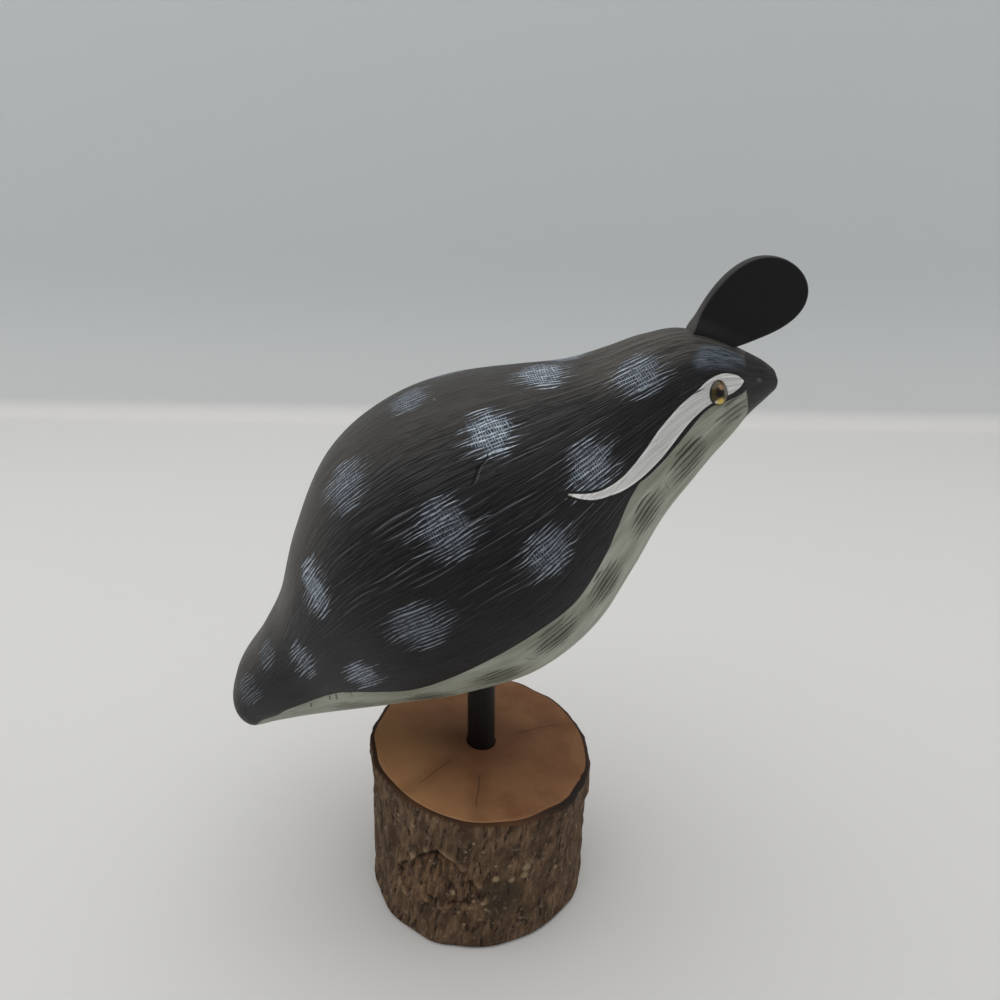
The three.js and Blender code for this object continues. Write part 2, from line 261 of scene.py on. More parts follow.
# Name, place and size in mm, and power in watts.
SOFT_LIGHTS = [("ceiling", (-60.0, 40.0, 760.0), 1100, 4.75),
               ("left_sheet", (-760.0, 60.0, 330.0), 600, 1.1),
               ("right_sheet", (760.0, 60.0, 330.0), 600, 1.1)]
LIGHTS_AIM = np.array([0.0, 40.0, 80.0])

bend = np.linspace(0, np.pi / 2, BEND_POINTS)
sweep_y = np.concatenate([[-SHEET_HALF], BACKDROP_AWAY - SWEEP_RADIUS * (1 - np.sin(bend)), [BACKDROP_AWAY]])
sweep_z = np.concatenate([[0.0], SWEEP_RADIUS * (1 - np.cos(bend)), [SHEET_HALF]])
left_edge = together(-SHEET_HALF, sweep_y, sweep_z)
strips = np.arange(len(left_edge) - 1)
mesh = bpy.data.meshes.new("swept_sheet")
mesh.from_pydata((np.concatenate([left_edge, left_edge * (-1, 1, 1)]) * MM).tolist(), [],
                 together(strips, strips + len(left_edge), strips + len(left_edge) + 1, strips + 1).tolist())
mesh.polygons.foreach_set("use_smooth", np.ones(len(strips), bool))
sheet = bpy.data.objects.new("swept_sheet", mesh)
bpy.context.scene.collection.objects.link(sheet)
card, add, card_shader = new_material("matt_card")
where = add(PLACES).outputs["Object"]
height = add(SPLIT, where).outputs["Z"]
# raised and greyer paint the sheet greyer up the wall: painted shade for the light falling off with height.
raised = add(SOFT_STEP, height, 0.004, 0.02)
greyer = add(SOFT_STEP, height, 0.02, 0.15)
behind = add(PAINT_OVER, greyer, "#d5d8d8", "#c2c6c8")
add(PAINT_OVER, raised, "#e0dedb", behind, to=card_shader.inputs["Base Color"])
card_shader.inputs["Roughness"].default_value = 0.9
mesh.materials.append(card)

for name, spot, size, watts in SOFT_LIGHTS:
    light = bpy.data.lights.new(name, "AREA")
    light.size, light.energy = size * MM, watts
    lamp = bpy.data.objects.new(name, light)
    back = (spot - LIGHTS_AIM) / np.linalg.norm(spot - LIGHTS_AIM)
    side = np.cross([0.0, 1.0, 0.001], back)
    side /= np.linalg.norm(side)
    pose = np.eye(4)
    pose[:3] = np.stack([side, np.cross(back, side), back, np.array(spot) * MM], axis=1)
    lamp.matrix_world = Matrix(pose.tolist())
    bpy.context.scene.collection.objects.link(lamp)
world = bpy.data.worlds.new("tent")
world.use_nodes = True
sky = world.node_tree.nodes["Background"]
sky.inputs["Color"].default_value = linear("#f4f6f8")
sky.inputs["Strength"].default_value = 0.31
bpy.context.scene.world = world
bpy.context.scene.view_settings.view_transform = "Standard"
print("lights:", [lamp.name for lamp in bpy.data.lights])

# %% [markdown]
# The bird itself. A carver saws the side view out of a block, then rounds it over, so the body
# is best described by its side view and its widths. Each station below gives the back line, the
# belly line and the half width there, from the tail to the bill. Between stations the numbers
# blend smoothly, and each section is an ellipse, a little boxy at the tail.

# %% The body's stations
# Back line (x, z), belly line (x, z), half width, squareness (2 is an ellipse).
STATIONS = np.array([
    (-66.5, 54.5, -63.5, 52.0, 6.0, 2.2),    # tail edge
    (-69.5, 61.0, -60.5, 53.5, 10.0, 2.2),   # tail end
    (-68.0, 70.5, -54.5, 56.0, 13.5, 2.3),   # tail
    (-60.9, 82.0, -45.5, 59.0, 17.5, 2.3),   # tail root
    (-53.8, 95.0, -33.0, 62.0, 22.0, 2.2),   # rump
    (-47.6, 114.5, -18.0, 66.0, 29.5, 2.1),  # back
    (-38.5, 133.8, 1.0, 71.0, 37.0, 2.0),    # saddle
    (-24.0, 146.4, 18.4, 78.6, 39.0, 2.0),   # girth
    (-8.5, 152.8, 31.1, 90.7, 36.0, 2.0),    # breast
    (8.0, 155.5, 39.6, 105.7, 28.5, 2.0),    # shoulder
    (21.0, 157.5, 46.0, 118.7, 21.5, 2.0),   # neck
    (30.0, 160.5, 51.4, 126.8, 18.0, 2.0),   # nape
    (38.0, 163.5, 56.0, 133.5, 15.5, 2.0),   # cheek
    (47.5, 165.0, 61.0, 140.0, 12.5, 2.0),   # crown
    (55.5, 163.0, 63.5, 143.5, 9.5, 2.0),    # brow
    (62.0, 160.0, 65.5, 146.0, 7.0, 2.0),    # bill root
    (67.0, 157.5, 68.5, 149.0, 4.5, 2.0),    # bill
    (70.5, 155.0, 71.0, 151.5, 2.2, 2.0),    # bill tip
])
TAIL_ROUNDING = 2.2
BILL_ROUNDING = 1.2

middle = (STATIONS[:, 0:2] + STATIONS[:, 2:4]) / 2
station_knots = np.concatenate([[0], np.cumsum(np.linalg.norm(np.diff(middle, axis=0), axis=1))])
body_length = station_knots[-1]


def body_point(along, turn):
    """A point of the body, in mm. along runs from the tail edge to the bill tip, and turn from
    the back (0) over the right flank to the belly (half a circle). The section there is a
    superellipse between back line and belly line, and both ends shrink as a quarter circle."""
    bx, bz, vx, vz, half_width, square = (smooth_curve(station_knots, v, along) for v in STATIONS.T)
    tail = 1 - np.clip(along / TAIL_ROUNDING, 0, 1)
    bill = 1 - np.clip((body_length - along) / BILL_ROUNDING, 0, 1)
    shrink = np.sqrt((1 - tail ** 2) * (1 - bill ** 2))
    cosine, sine = np.cos(turn), np.sin(turn)
    up = shrink * np.sign(cosine) * np.abs(cosine) ** (2 / square) / 2
    out = shrink * np.sign(sine) * np.abs(sine) ** (2 / square)
    return together((bx + vx) / 2 + up * (bx - vx), -half_width * out, (bz + vz) / 2 + up * (bz - vz))


print("body is", round(float(body_length)), "mm from tail edge to bill tip")

# %% [markdown]
# The skin needs its lines where the detail is. They lie about half a millimetre apart along the
# bird, closer at the rounded tail edge and bill tip, and closest round a drying crack in the
# wood above the right flank. A density says how close, and its running total, turned round,
# gives the places of the lines.

# %% The grid on the body
BODY_RINGS = 330
BODY_SIDES = 280
CRACK = [(108.2, 50.6), (106.9, 52.5), (105.4, 53.5), (103.9, 55.5), (103.1, 57.0), (101.4, 58.5)]
CRACK_MIDDLE = (104.9, np.radians(54.5))
DENSITY_STEPS = 4000


def spread(count, low, high, crowds):
    """count places from low to high. Each crowd (middle, reach, gain) makes them gain times
    closer at its middle, and fades out over its reach as a bell curve."""
    at = np.linspace(low, high, DENSITY_STEPS)
    density = 1 + sum((gain - 1) * bell(at - spot, reach) for spot, reach, gain in crowds)
    total = np.concatenate([[0], np.cumsum((density[1:] + density[:-1]) / 2)])
    return np.interp(np.linspace(0, total[-1], count), total, at)


along_lines = spread(BODY_RINGS, 0.012, body_length - 0.006, [
    (0.0, 1.8, 5.0), (body_length, 1.2, 5.0), (CRACK_MIDDLE[0], 4.0, 2.2)])
turn_lines = spread(BODY_SIDES + 1, 0.0, 2 * np.pi, [(CRACK_MIDDLE[1], 0.1, 4.0)])[:-1]
along, turn = np.meshgrid(along_lines, turn_lines, indexing="ij")
blank = body_point(along, turn)
print("rings are", round(float(np.median(np.diff(along_lines))), 2), "mm apart")

# %% [markdown]
# Painted edges and marks are easiest to lay out on the unrolled skin: millimetres along the
# bird, and degrees round it from the back line. The grid tells how many real millimetres one
# step along or one radian round is worth at each of its points, so a distance measured on the
# unrolled skin is a true one. The left flank is the right one again, a little off, as a painter
# who turns the bird over would have it.

# %% Measures on the skin
FAR_MM = 1e6
PAINT_SLIP_MM, PAINT_SLIP_TURN = 1.6, np.radians(2.4)


def rate_round(grid, at):
    """Central difference round the piece, over at."""
    gap = (np.roll(at, -1, 1) - np.roll(at, 1, 1)) % (2 * np.pi)
    return (np.roll(grid, -1, 1) - np.roll(grid, 1, 1)) / gap[..., None]


per_step = np.gradient(blank, along_lines, axis=0)
per_turn = rate_round(blank, turn)
outward = np.cross(per_turn, per_step)
outward /= np.linalg.norm(outward, axis=-1, keepdims=True) + 1e-9
step_mm = np.linalg.norm(per_step, axis=-1)
turn_mm = np.linalg.norm(per_turn, axis=-1)

to_left = np.clip(-np.sin(turn), 0, 1)
share_along, share_round = along / body_length, turn / (2 * np.pi)
drift = unevenness(share_round, share_along, (5, 14), 3)
sway = unevenness(share_round, share_along, (5, 14), 4)
paint_along = along + PAINT_SLIP_MM * to_left * drift
paint_turn = np.where(turn > np.pi, 2 * np.pi - turn, turn) + PAINT_SLIP_TURN * to_left * sway
signed_turn = np.where(turn > np.pi, turn - 2 * np.pi, turn)


def drawn(points, fineness=10):
    """A smooth curve through points (mm along, degrees round), as (mm, radians)."""
    points = np.array(points, float) * (1, np.pi / 180)
    strides = np.linalg.norm(np.diff(points * (1, 30), axis=0), axis=1)
    knots = np.concatenate([[0], np.cumsum(strides)])
    at = np.linspace(0, knots[-1], fineness * len(points))
    return np.stack([smooth_curve(knots, values, at) for values in points.T], axis=-1)


def distance_to(line, here=(paint_along, paint_turn), mm_per_unit=(step_mm, turn_mm)):
    """True distance from every grid point to a drawn line: the least over its short pieces of
    the distance to the nearest point of the piece."""
    nearest = np.full(here[0].shape, FAR_MM)
    for (x0, y0), (x1, y1) in zip(line[:-1], line[1:]):
        run, rise = (x1 - x0) * mm_per_unit[0], (y1 - y0) * mm_per_unit[1]
        dx, dy = (here[0] - x0) * mm_per_unit[0], (here[1] - y0) * mm_per_unit[1]
        share = np.clip((dx * run + dy * rise) / (run ** 2 + rise ** 2 + 1e-9), 0, 1)
        nearest = np.minimum(nearest, np.hypot(dx - share * run, dy - share * rise))
    return nearest


def inside(outline, here=(paint_along, paint_turn)):
    """Whether each point lies within a closed outline: a line from it crosses it an odd number
    of times."""
    odd = np.zeros(here[0].shape, bool)
    for (x0, y0), (x1, y1) in zip(outline, np.roll(outline, -1, axis=0)):
        if y0 != y1:
            crosses = (y0 > here[1]) != (y1 > here[1])
            odd ^= crosses & (here[0] < x0 + (here[1] - y0) / (y1 - y0) * (x1 - x0))
    return odd


print("one radian round the girth is", round(float(turn_mm.max()), 1), "mm")

# %% [markdown]
# The head's pattern has three edges. The dark coat ends against the pale underside in a long
# easy curve from tail to cheek. Over that lies the white stripe, a slim comma that starts round
# at the bill, takes in the eye and runs out in a point on the breast. The bill is bare dark wood
# colour from a line across the face. Each becomes a distance in millimetres, positive on one
# side and negative on the other, so that the paint can have a clean edge, or a soft one.

# %% Painted edges
COAT_EDGE = [(-12, 200), (-2, 160), (4, 121), (10.2, 110.5), (15.9, 109.5), (22.4, 105), (31.4, 102.5),
             (42.1, 104.5), (53.8, 114), (60, 117.5), (71.2, 117.5), (83.9, 115), (96.9, 115),
             (108.1, 117), (116.6, 114.5), (124.3, 107.5), (128.8, 103.5), (133.3, 101.5), (137, 102),
             (142.5, 100.8), (148.2, 97.8), (153.4, 94.4), (158.7, 97.8), (163.2, 95), (166, 84), (182, 80)]
STRIPE_TOP = [(117.2, 77.7), (119.5, 81), (121.4, 84), (124.4, 87.8), (129.8, 91.1),
              (135.8, 89), (142, 84), (148, 80), (153.7, 76.6), (155.2, 74.6), (157.4, 72.6), (160.6, 70.4),
              (162.7, 72.5), (164.1, 80)]
STRIPE_BELOW = [(164.1, 80), (162.9, 88), (160.7, 92.6), (157.5, 93.6), (153.2, 92.8), (150.7, 93.5),
                (145, 97), (138.5, 100.5), (133.5, 100.4), (130, 98.5), (125.5, 93.2), (121.6, 87.9),
                (119.4, 83.1), (117.2, 77.7)]
TICKS = [[(30.8, 105.5), (29.6, 110)], [(39.2, 101.5), (37.4, 107.5)], [(41.4, 103.5), (39.6, 109)],
         [(46.4, 106.5), (44.8, 111.5)]]
TICK_THINNER_MM = 0.1
TIP_LINE = [(119.4, 81.8), (117.0, 77.6), (114.6, 74.6)]
STRIPE_SCORE = [(150.9, 77.7), (152.7, 78.1), (154.9, 79)]
BLACK_LINE = [(164.4, 89), (163.2, 95), (161, 97.6), (158.7, 97.8), (155.7, 95.2), (153.4, 94.4),
              (150.9, 95.5), (148.2, 97.8), (145.7, 99.4), (142.5, 100.8), (139, 102), (134.8, 102),
              (132.5, 101), (128, 98), (124, 92.5)]
BILL_LINE = [(167.1, -5), (166.9, 12.5), (166.1, 34), (165.4, 62.5), (164.9, 78.5), (164.1, 94),
             (163.9, 109.5), (163.7, 129), (163.3, 153), (163.2, 185)]

coat_edge = drawn(COAT_EDGE)
far_round = np.array([(182, 8.0), (-12, 8.0)])
coat_mm = np.where(inside(np.concatenate([coat_edge, far_round])), -1, 1) * distance_to(coat_edge)
stripe = np.concatenate([drawn(STRIPE_TOP), drawn(STRIPE_BELOW)[1:]])
stripe_mm = np.where(inside(stripe), 1, -1) * distance_to(stripe)
line_mm = np.minimum(distance_to(drawn(BLACK_LINE)), distance_to(drawn(TIP_LINE)))
for tick in TICKS:
    line_mm = np.minimum(line_mm, distance_to(drawn(tick)) + TICK_THINNER_MM)
score_mm = distance_to(drawn(STRIPE_SCORE))
bill_line = drawn(BILL_LINE)
bill_mm = (paint_along - np.interp(paint_turn, bill_line[:, 1], bill_line[:, 0])) * step_mm
print("pale share of the skin:", round(float((coat_mm < 0).mean()), 2))

# %% [markdown]
# Real feathers are suggested by patches of hatching. On the dark coat the painter dragged an
# almost dry brush of pale blue along the body, then across it, so each patch looks woven in the
# middle and ends in loose strokes. On the pale underside the same brush held dark grey. Every
# patch is an ellipse with its own small coordinate system, so the strokes can be drawn in it
# in real millimetres. The left flank gets the mirror image, with a painter's inaccuracy.

# %% Hatched patches
# Place (mm along, degrees round), reach along and across in mm, and strength of the paint.
PATCHES = [
    (110.1, 43.0, 7.2, 7.0, 1.00), (125.0, 15.5, 7.4, 6.5, 0.85), (143.7, 45.5, 7.5, 5.8, 0.80),
    (95.4, 11.5, 6.5, 6.0, 0.45), (75.2, 35.0, 8.0, 7.0, 0.50), (93.2, 66.5, 8.6, 7.5, 0.47),
    (125.0, 76.0, 8.3, 6.5, 0.72), (108.6, 92.0, 7.6, 5.8, 0.60), (76.2, 90.0, 8.0, 6.5, 0.38),
    (56.0, 56.0, 6.0, 7.5, 0.85), (39.6, 76.5, 5.0, 5.4, 0.55), (54.1, 99.5, 6.5, 4.8, 0.70),
    (27.4, 49.0, 5.0, 4.0, 0.25), (15.7, 64.0, 6.0, 4.5, 0.28),
    (159.2, 113.0, 5.0, 2.8, 0.75), (144.7, 119.5, 6.6, 4.6, 0.95), (129.8, 122.5, 6.0, 4.6, 0.90),
    (114.0, 127.5, 6.6, 5.2, 0.95), (98.4, 124.5, 6.8, 4.8, 0.90), (81.5, 129.5, 7.8, 4.6, 0.90),
    (62.0, 132.0, 8.0, 4.4, 0.85), (40.0, 126.0, 7.5, 3.6, 0.6),
]
CORE_SHARE = 0.72
SLIP = np.array([2.0, 2.5, 0.08, 0.08])
BACK_ROW_ABOVE = 20.0
BACK_ROW_STAGGER = 8.0

chance = np.random.default_rng(11)
patches = list(PATCHES)
for place_along, degrees, reach, width, strength in PATCHES:
    stagger = BACK_ROW_STAGGER if degrees < BACK_ROW_ABOVE else 0.0
    slip = chance.uniform(-1, 1, 4) * SLIP
    patches.append((place_along + stagger + slip[0], -degrees + slip[1],
                    reach * (1 + slip[2]), width * (1 + slip[3]), strength))

patch_fill, patch_core = np.full((2,) + along.shape, -1.0)
patch_size, patch_at = np.zeros((2,) + along.shape + (3,))
for number, (place_along, degrees, reach, width, strength) in enumerate(patches):
    ahead_mm = (along - place_along) * step_mm
    across_mm = (signed_turn - np.radians(degrees)) * turn_mm
    fill = 1 - np.hypot(ahead_mm / reach, across_mm / width)
    here = fill > patch_fill
    row_half = reach * np.sqrt(np.clip(1 - (across_mm / width) ** 2, 0, 1))
    column_half = width * np.sqrt(np.clip(1 - (ahead_mm / reach) ** 2, 0, 1))
    patch_fill[here] = fill[here]
    patch_core[here] = (1 - np.hypot(ahead_mm / (CORE_SHARE * reach), across_mm / width))[here]
    patch_size[here] = together(row_half, column_half, strength)[here]
    patch_at[here] = together(ahead_mm, across_mm, 7.3 * number)[here]
print(len(patches), "hatched patches")

# %% [markdown]
# The last marks are small ones. A dull slate patch sits on the forehead between topknot and
# stripe. A drying crack runs askew across the grain below the brightest patch. And the coat is
# not the same all round: it is painted lighter and browner on the back and lighter still on the
# crown and rump, as painted light where the light falls, and it is smooth on the back and inkier
# on the flank, with the brush lines standing out in painted shade and highlight.

# %% Forehead, crack and the tone round the body
FOREHEAD = [(157.6, 41), (159.8, 35), (162.4, 33.5), (165.2, 36), (165.5, 46), (165.0, 57), (161.9, 63),
            (159.3, 62), (157.2, 62), (155.4, 60), (156.2, 50), (157.6, 41)]
NOSTRIL = (168.1, 77.5, 0.4)
CRACK_HIGHLIGHT_AHEAD_MM = 0.9
BRUSH_RADIUS = 30
SPECKS = [(119.3, 28.0, 0.2), (101.4, 18.0, 0.18), (87.2, 101.5, 0.18), (83.7, 100.0, 0.16)]

forehead_line = drawn(FOREHEAD)
forehead_mm = np.where(inside(forehead_line[:-1]), 1, -1) * distance_to(forehead_line)
crack_mm = distance_to(drawn(CRACK), (along, turn))
# Distance to the crack's line moved ahead, where its painted highlight lies.
crack_highlight_mm = distance_to(drawn(CRACK)[6:-6] + (CRACK_HIGHLIGHT_AHEAD_MM, 0.0), (along, turn))
crack_open = ease(along, 100.8, 102.0) * (1 - ease(along, 108.0, 108.8))
degrees_round = np.degrees(paint_turn)
# crown and rump are where the coat is painted lighter still, and flank runs from the lighter painted back to
# the near black flank: painted light.
crown = ease(along, 128, 142) * (1 - ease(degrees_round, 36, 58))
flank = ease(degrees_round - 8 * (1 - ease(along, 45, 75)), 28, 66)
flank += 0.34 * (1 - crown) * (1 - flank)
rump = ease(along, 28, 44) * (1 - ease(along, 72, 100)) * (1 - ease(degrees_round, 12, 40))
crown = np.maximum(crown, 0.45 * rump)
brush = together(along, BRUSH_RADIUS * np.cos(turn), BRUSH_RADIUS * np.sin(turn))
combed = together(along, BRUSH_RADIUS * paint_turn, 0.0)
specks = np.zeros(along.shape)
for place_along, degrees, radius in [NOSTRIL] + SPECKS:
    off_mm = np.hypot((paint_along - place_along) * step_mm, (paint_turn - np.radians(degrees)) * turn_mm)
    specks = np.maximum(specks, bell(off_mm, radius))
smooth_from = 66 + 20 * ease(along, 78, 106)
lines_show = ease(degrees_round, 25, 60) * (1 - ease(degrees_round, smooth_from, smooth_from + 26))
lines_show = (0.14 + 0.86 * lines_show + 0.3 * crown) * (0.35 + 0.65 * ease(along, 50, 80))
lines_show *= 1 - 0.85 * ease(bill_mm, -1.5, 0)
lines_show *= (1 - 0.8 * ease(stripe_mm, -0.3, 0.1)) * (1 - 0.6 * ease(-coat_mm, -0.2, 0.4))
print("crack is", round(float((CRACK[0][0] - CRACK[-1][0])), 1), "mm long along the bird")

# %% [markdown]
# A knife leaves a surface that is smooth but never quite true. A slow unevenness of a tenth of
# a millimetre, cut inwards, does that, with a still slower one for the hand's broad strokes. The
# crack is a real groove in the mesh, under half a millimetre deep. A nick above the tip of the
# bill leaves it slightly hooked.

# %% The carved body
CUT_MM = 0.22
CRACK_DEPTH_MM = 0.4
CRACK_HALF_WIDTH_MM = 0.15
NICK_PLACE, NICK_REACH_MM, NICK_DEPTH_MM = np.array([71.4, 154.9]), 1.1, 0.75

knife = unevenness(share_round, share_along, (26, 24), 21)
knife += unevenness(share_round, share_along, (9, 11), 22)
ends_kept = ease(along, 3, 9) * (1 - ease(along, body_length - 12, body_length - 5))
cut = CUT_MM * (0.5 - 0.25 * knife) * ends_kept
cut += CRACK_DEPTH_MM * crack_open * bell(crack_mm, CRACK_HALF_WIDTH_MM)
from_nick = np.linalg.norm(blank[..., ::2] - NICK_PLACE, axis=-1)
cut += NICK_DEPTH_MM * bell(from_nick, NICK_REACH_MM)
carved = blank - outward * cut[..., None]
for_paint = dict(
    brush=brush, flank=flank, lines_show=lines_show, coat_mm=coat_mm, stripe_mm=stripe_mm, line_mm=line_mm,
    bill_mm=bill_mm, patch_at=patch_at, patch_fill=patch_fill, patch_core=patch_core, patch_size=patch_size,
    forehead_mm=forehead_mm, crack_mm=crack_mm + 2 * (1 - crack_open), crack_highlight_mm=crack_highlight_mm, combed=combed,
    crown=crown, score_mm=score_mm, specks=specks)
body = make_skin("quail_body_carved", carved, **for_paint)

# %% [markdown]
# The paint is artists' acrylic, brushed on thinly over sanded wood: a satin film that is full of
# bristle marks. All the marks run along the bird. The soft ones come from noise that is
# stretched: a cell some millimetres long and under a millimetre wide. The sharp ones, where a
# single bristle has scratched through, are the contour lines of such noise. The stretching is
# done in the brush coordinates, which follow the skin. A stiffer brush has combed the flank: rows
# of fine grooves, each a centimetre or two long, each with a lip of pushed up paint below it.

# %% Brushed acrylic paint
STROKE_LONG, STROKE_WIDE = 14.0, 0.6
SCRATCH_LONG, SCRATCH_WIDE = 22.0, 1.3
CLOUD_LONG, CLOUD_WIDE = 16.0, 5.0
GROOVE_SPACING, GROOVE_LONG, GROOVE_WANDER = 0.92, 15.0, 3.0
GROOVE_MIDDLE, LIP_MIDDLE, LIP_SHARE, ROW_SOFTNESS = 0.4, 0.76, 0.65, 0.1

paint, add, paint_shader = new_material("brushed_acrylic_on_wood")
given = {name: add(("Attribute", {"attribute_name": name})) for name in for_paint}
skin = {name: node.outputs["Fac"] for name, node in given.items()}


def brush_noise(source, long_mm, wide_mm, detail):
    """Noise around a half, in cells of long_mm along the strokes by wide_mm across them."""
    cells = add(CELLS, given[source].outputs["Vector"], None, None,
                (1 / long_mm, 1 / wide_mm, 1 / wide_mm))
    return add(NOISE, cells, Scale=1.0, Detail=detail, Roughness=0.55)


broad = brush_noise("brush", STROKE_LONG, STROKE_WIDE, 1.0)
fine = brush_noise("brush", SCRATCH_LONG, SCRATCH_WIDE, 2.0)
slow = brush_noise("brush", CLOUD_LONG, CLOUD_WIDE, 2.0)
bristles = add(SOFT_STEP, broad, 0.42, 0.54)
clouds = add(SOFT_STEP, slow, 0.30, 0.70)
scratch = add(SOFT_STEP, add(ABSOLUTE, add(MINUS, fine, 0.5)), 0.05, 0.02)


def band(place_in_row, middle, half_width):
    """Cover from 0 to 1 by a soft-edged line about its middle, in shares of a row."""
    off_middle = add(ABSOLUTE, add(MINUS, place_in_row, middle))
    return add(SOFT_STEP, off_middle, half_width, add(MINUS, half_width, ROW_SOFTNESS))


comb = add(SPLIT, given["combed"].outputs["Vector"]).outputs
rows = add(TIMES_PLUS, brush_noise("combed", 26.0, 6.0, 1.0), GROOVE_WANDER, comb["Y"])
rows = add(DIVIDE, rows, GROOVE_SPACING)
row = add(FLOOR, rows)
row_lot = add(("TexWhiteNoise", {"noise_dimensions": "1D"}), row)
runs = add(TIMES_PLUS, row_lot, 7.0, add(DIVIDE, comb["X"], GROOVE_LONG))
number = add(JOIN, row, add(FLOOR, runs), 3.0)
groove_lot = add(("TexWhiteNoise", {"noise_dimensions": "3D"}), number)
run = add(RANGE, add(FRACT, runs), 0.0, 1.0, -1.0, 1.0)
full = add(MINUS, 1.0, add(TIMES, run, run))
half_width = add(TIMES, full, add(RANGE, groove_lot, 0.2, 1.0, 0.0, 0.36))
place_in_row = add(FRACT, rows)
groove = band(place_in_row, GROOVE_MIDDLE, half_width)
# The lip is raised in the relief and painted pale as a highlight.
lip_ridge_and_highlight = band(place_in_row, LIP_MIDDLE, add(TIMES, half_width, LIP_SHARE))
print("brush marks drawn with", len(paint.node_tree.nodes), "nodes")

# %% [markdown]
# In the hatching the strokes can be told apart, so they are laid in rows. A row has a number,
# and that number draws the lots: how far the stroke reaches each way and how much paint it
# holds. Each stroke is widest in the middle and runs out in a point. A slow wander bends the
# rows a little, and fine noise breaks the paint where the brush was dry.

# %% One layer of tapered strokes
ROW_SPACING, PALE_ROW_SPACING = 0.9, 1.7
CROSS_SPACING = 0.62
STROKE_MIDDLE, SHADE_ASIDE = 0.5, 0.26

spot_axes = add(SPLIT, given["patch_at"].outputs["Vector"]).outputs
spot_size = add(SPLIT, given["patch_size"].outputs["Vector"]).outputs
dry = add(SOFT_STEP, brush_noise("patch_at", 1.6, 0.5, 3.0), 0.40, 0.50)
row_wander = add(RANGE, brush_noise("patch_at", 8.0, 2.5, 1.0), 0.0, 1.0, -0.9, 0.9)
cross_wander = add(RANGE, brush_noise("patch_at", 2.5, 8.0, 1.0), 0.0, 1.0, -0.8, 0.8)


def tapered_strokes(forth, aside, wander, half_length, spacing, wide_share, overshoot):
    """Cover from 0 to 1 by strokes along forth in rows across aside (mm). A row is the whole
    part of aside over spacing. Its stroke reaches half_length times a lot from 0.55 to 1.4,
    plus overshoot, and its half width falls as one minus the square of the share run. The
    second value is the same stroke moved aside, for the shade that the ridge of paint casts."""
    rows = add(DIVIDE, add(PLUS, aside, wander), spacing)
    number = add(JOIN, add(FLOOR, rows), spot_axes["Z"], spacing)
    lots = add(("TexWhiteNoise", {"noise_dimensions": "3D"}), number).outputs["Color"]
    lots = add(SPLIT, lots).outputs
    ends = []
    for lot, way in ((lots["X"], 1.0), (lots["Y"], -1.0)):
        reach = add(TIMES_PLUS, add(RANGE, lot, 0.0, 1.0, 0.55, 1.4), half_length, overshoot)
        ends.append(add(TIMES, add(DIVIDE, forth, reach), way))
    run = add(MAXIMUM, *ends)
    full = add(("Math", {"operation": "SUBTRACT", "use_clamp": True}), 1.0, add(TIMES, run, run))
    load = add(RANGE, lots["Z"], 0.0, 1.0, 0.7 * wide_share, 1.3 * wide_share)
    half_width = add(TIMES, full, load)
    place_in_row = add(FRACT, rows)
    loaded = add(RANGE, lots["X"], 0.0, 1.0, 1.0, 0.6)
    middles = (STROKE_MIDDLE, STROKE_MIDDLE + SHADE_ASIDE)
    return [add(TIMES, band(place_in_row, middle, half_width), loaded) for middle in middles]


along_strokes, along_shade = tapered_strokes(
    spot_axes["X"], spot_axes["Y"], row_wander, spot_size["X"], ROW_SPACING, 0.25, 1.1)
cross_strokes, cross_shade = tapered_strokes(
    spot_axes["Y"], spot_axes["X"], cross_wander, spot_size["Y"], CROSS_SPACING, 0.26, -0.6)
pale_strokes = tapered_strokes(
    spot_axes["X"], spot_axes["Y"], row_wander, spot_size["X"], PALE_ROW_SPACING, 0.27, 1.8)[0]
print("rows are", ROW_SPACING, "mm apart on the coat and", PALE_ROW_SPACING, "mm below")

# %% [markdown]
# The brush went along the bird first and then, lighter, across it. Where both layers meet the
# paint is thickest, which gives the woven look in the core of a patch. A thin slate wash lies
# under the core, and each ridge of paint has a dark line of shade below it. A well loaded brush
# gives a bright core, a nearly empty one only bright ends. The core is blotted by slow noise, so
# that no patch is a neat disc.

# %% One patch of hatching
blots = brush_noise("patch_at", 3.2, 2.4, 2.0)
core = add(SOFT_STEP, add(TIMES_PLUS, blots, 1.5, skin["patch_core"]), 0.75, 1.25)
nearby = add(SOFT_STEP, skin["patch_fill"], -0.36, -0.1)
whole_row = add(SOFT_STEP, spot_size["X"], 0.8, 2.4)
at_rim = add(("Math", {"operation": "ADD", "use_clamp": True}), spot_size["Z"], 0.1)
in_core = add(TIMES, spot_size["Z"], spot_size["Z"])
load = add(("Mix", {"data_type": "FLOAT"}), core, at_rim, add(TIMES_PLUS, in_core, 0.65, 0.32))
crossing = cross_strokes
for share in (core, in_core, 0.85):
    crossing = add(TIMES, crossing, share)
strokes = add(MAXIMUM, add(TIMES, along_strokes, load), crossing)
for share in (add(RANGE, dry, 0.0, 1.0, 0.35, 1.0), nearby, whole_row):
    strokes = add(TIMES, strokes, share)
for share in (spot_size["Z"], nearby):
    pale_strokes = add(TIMES, pale_strokes, share)
shade = add(MAXIMUM, along_shade, add(TIMES, cross_shade, core))
for share in (nearby, whole_row, 0.8):
    shade = add(TIMES, shade, share)
wash = add(TIMES, add(TIMES_PLUS, in_core, 0.5, 0.35), core)
print("strokes drawn with", len(paint.node_tree.nodes), "nodes")
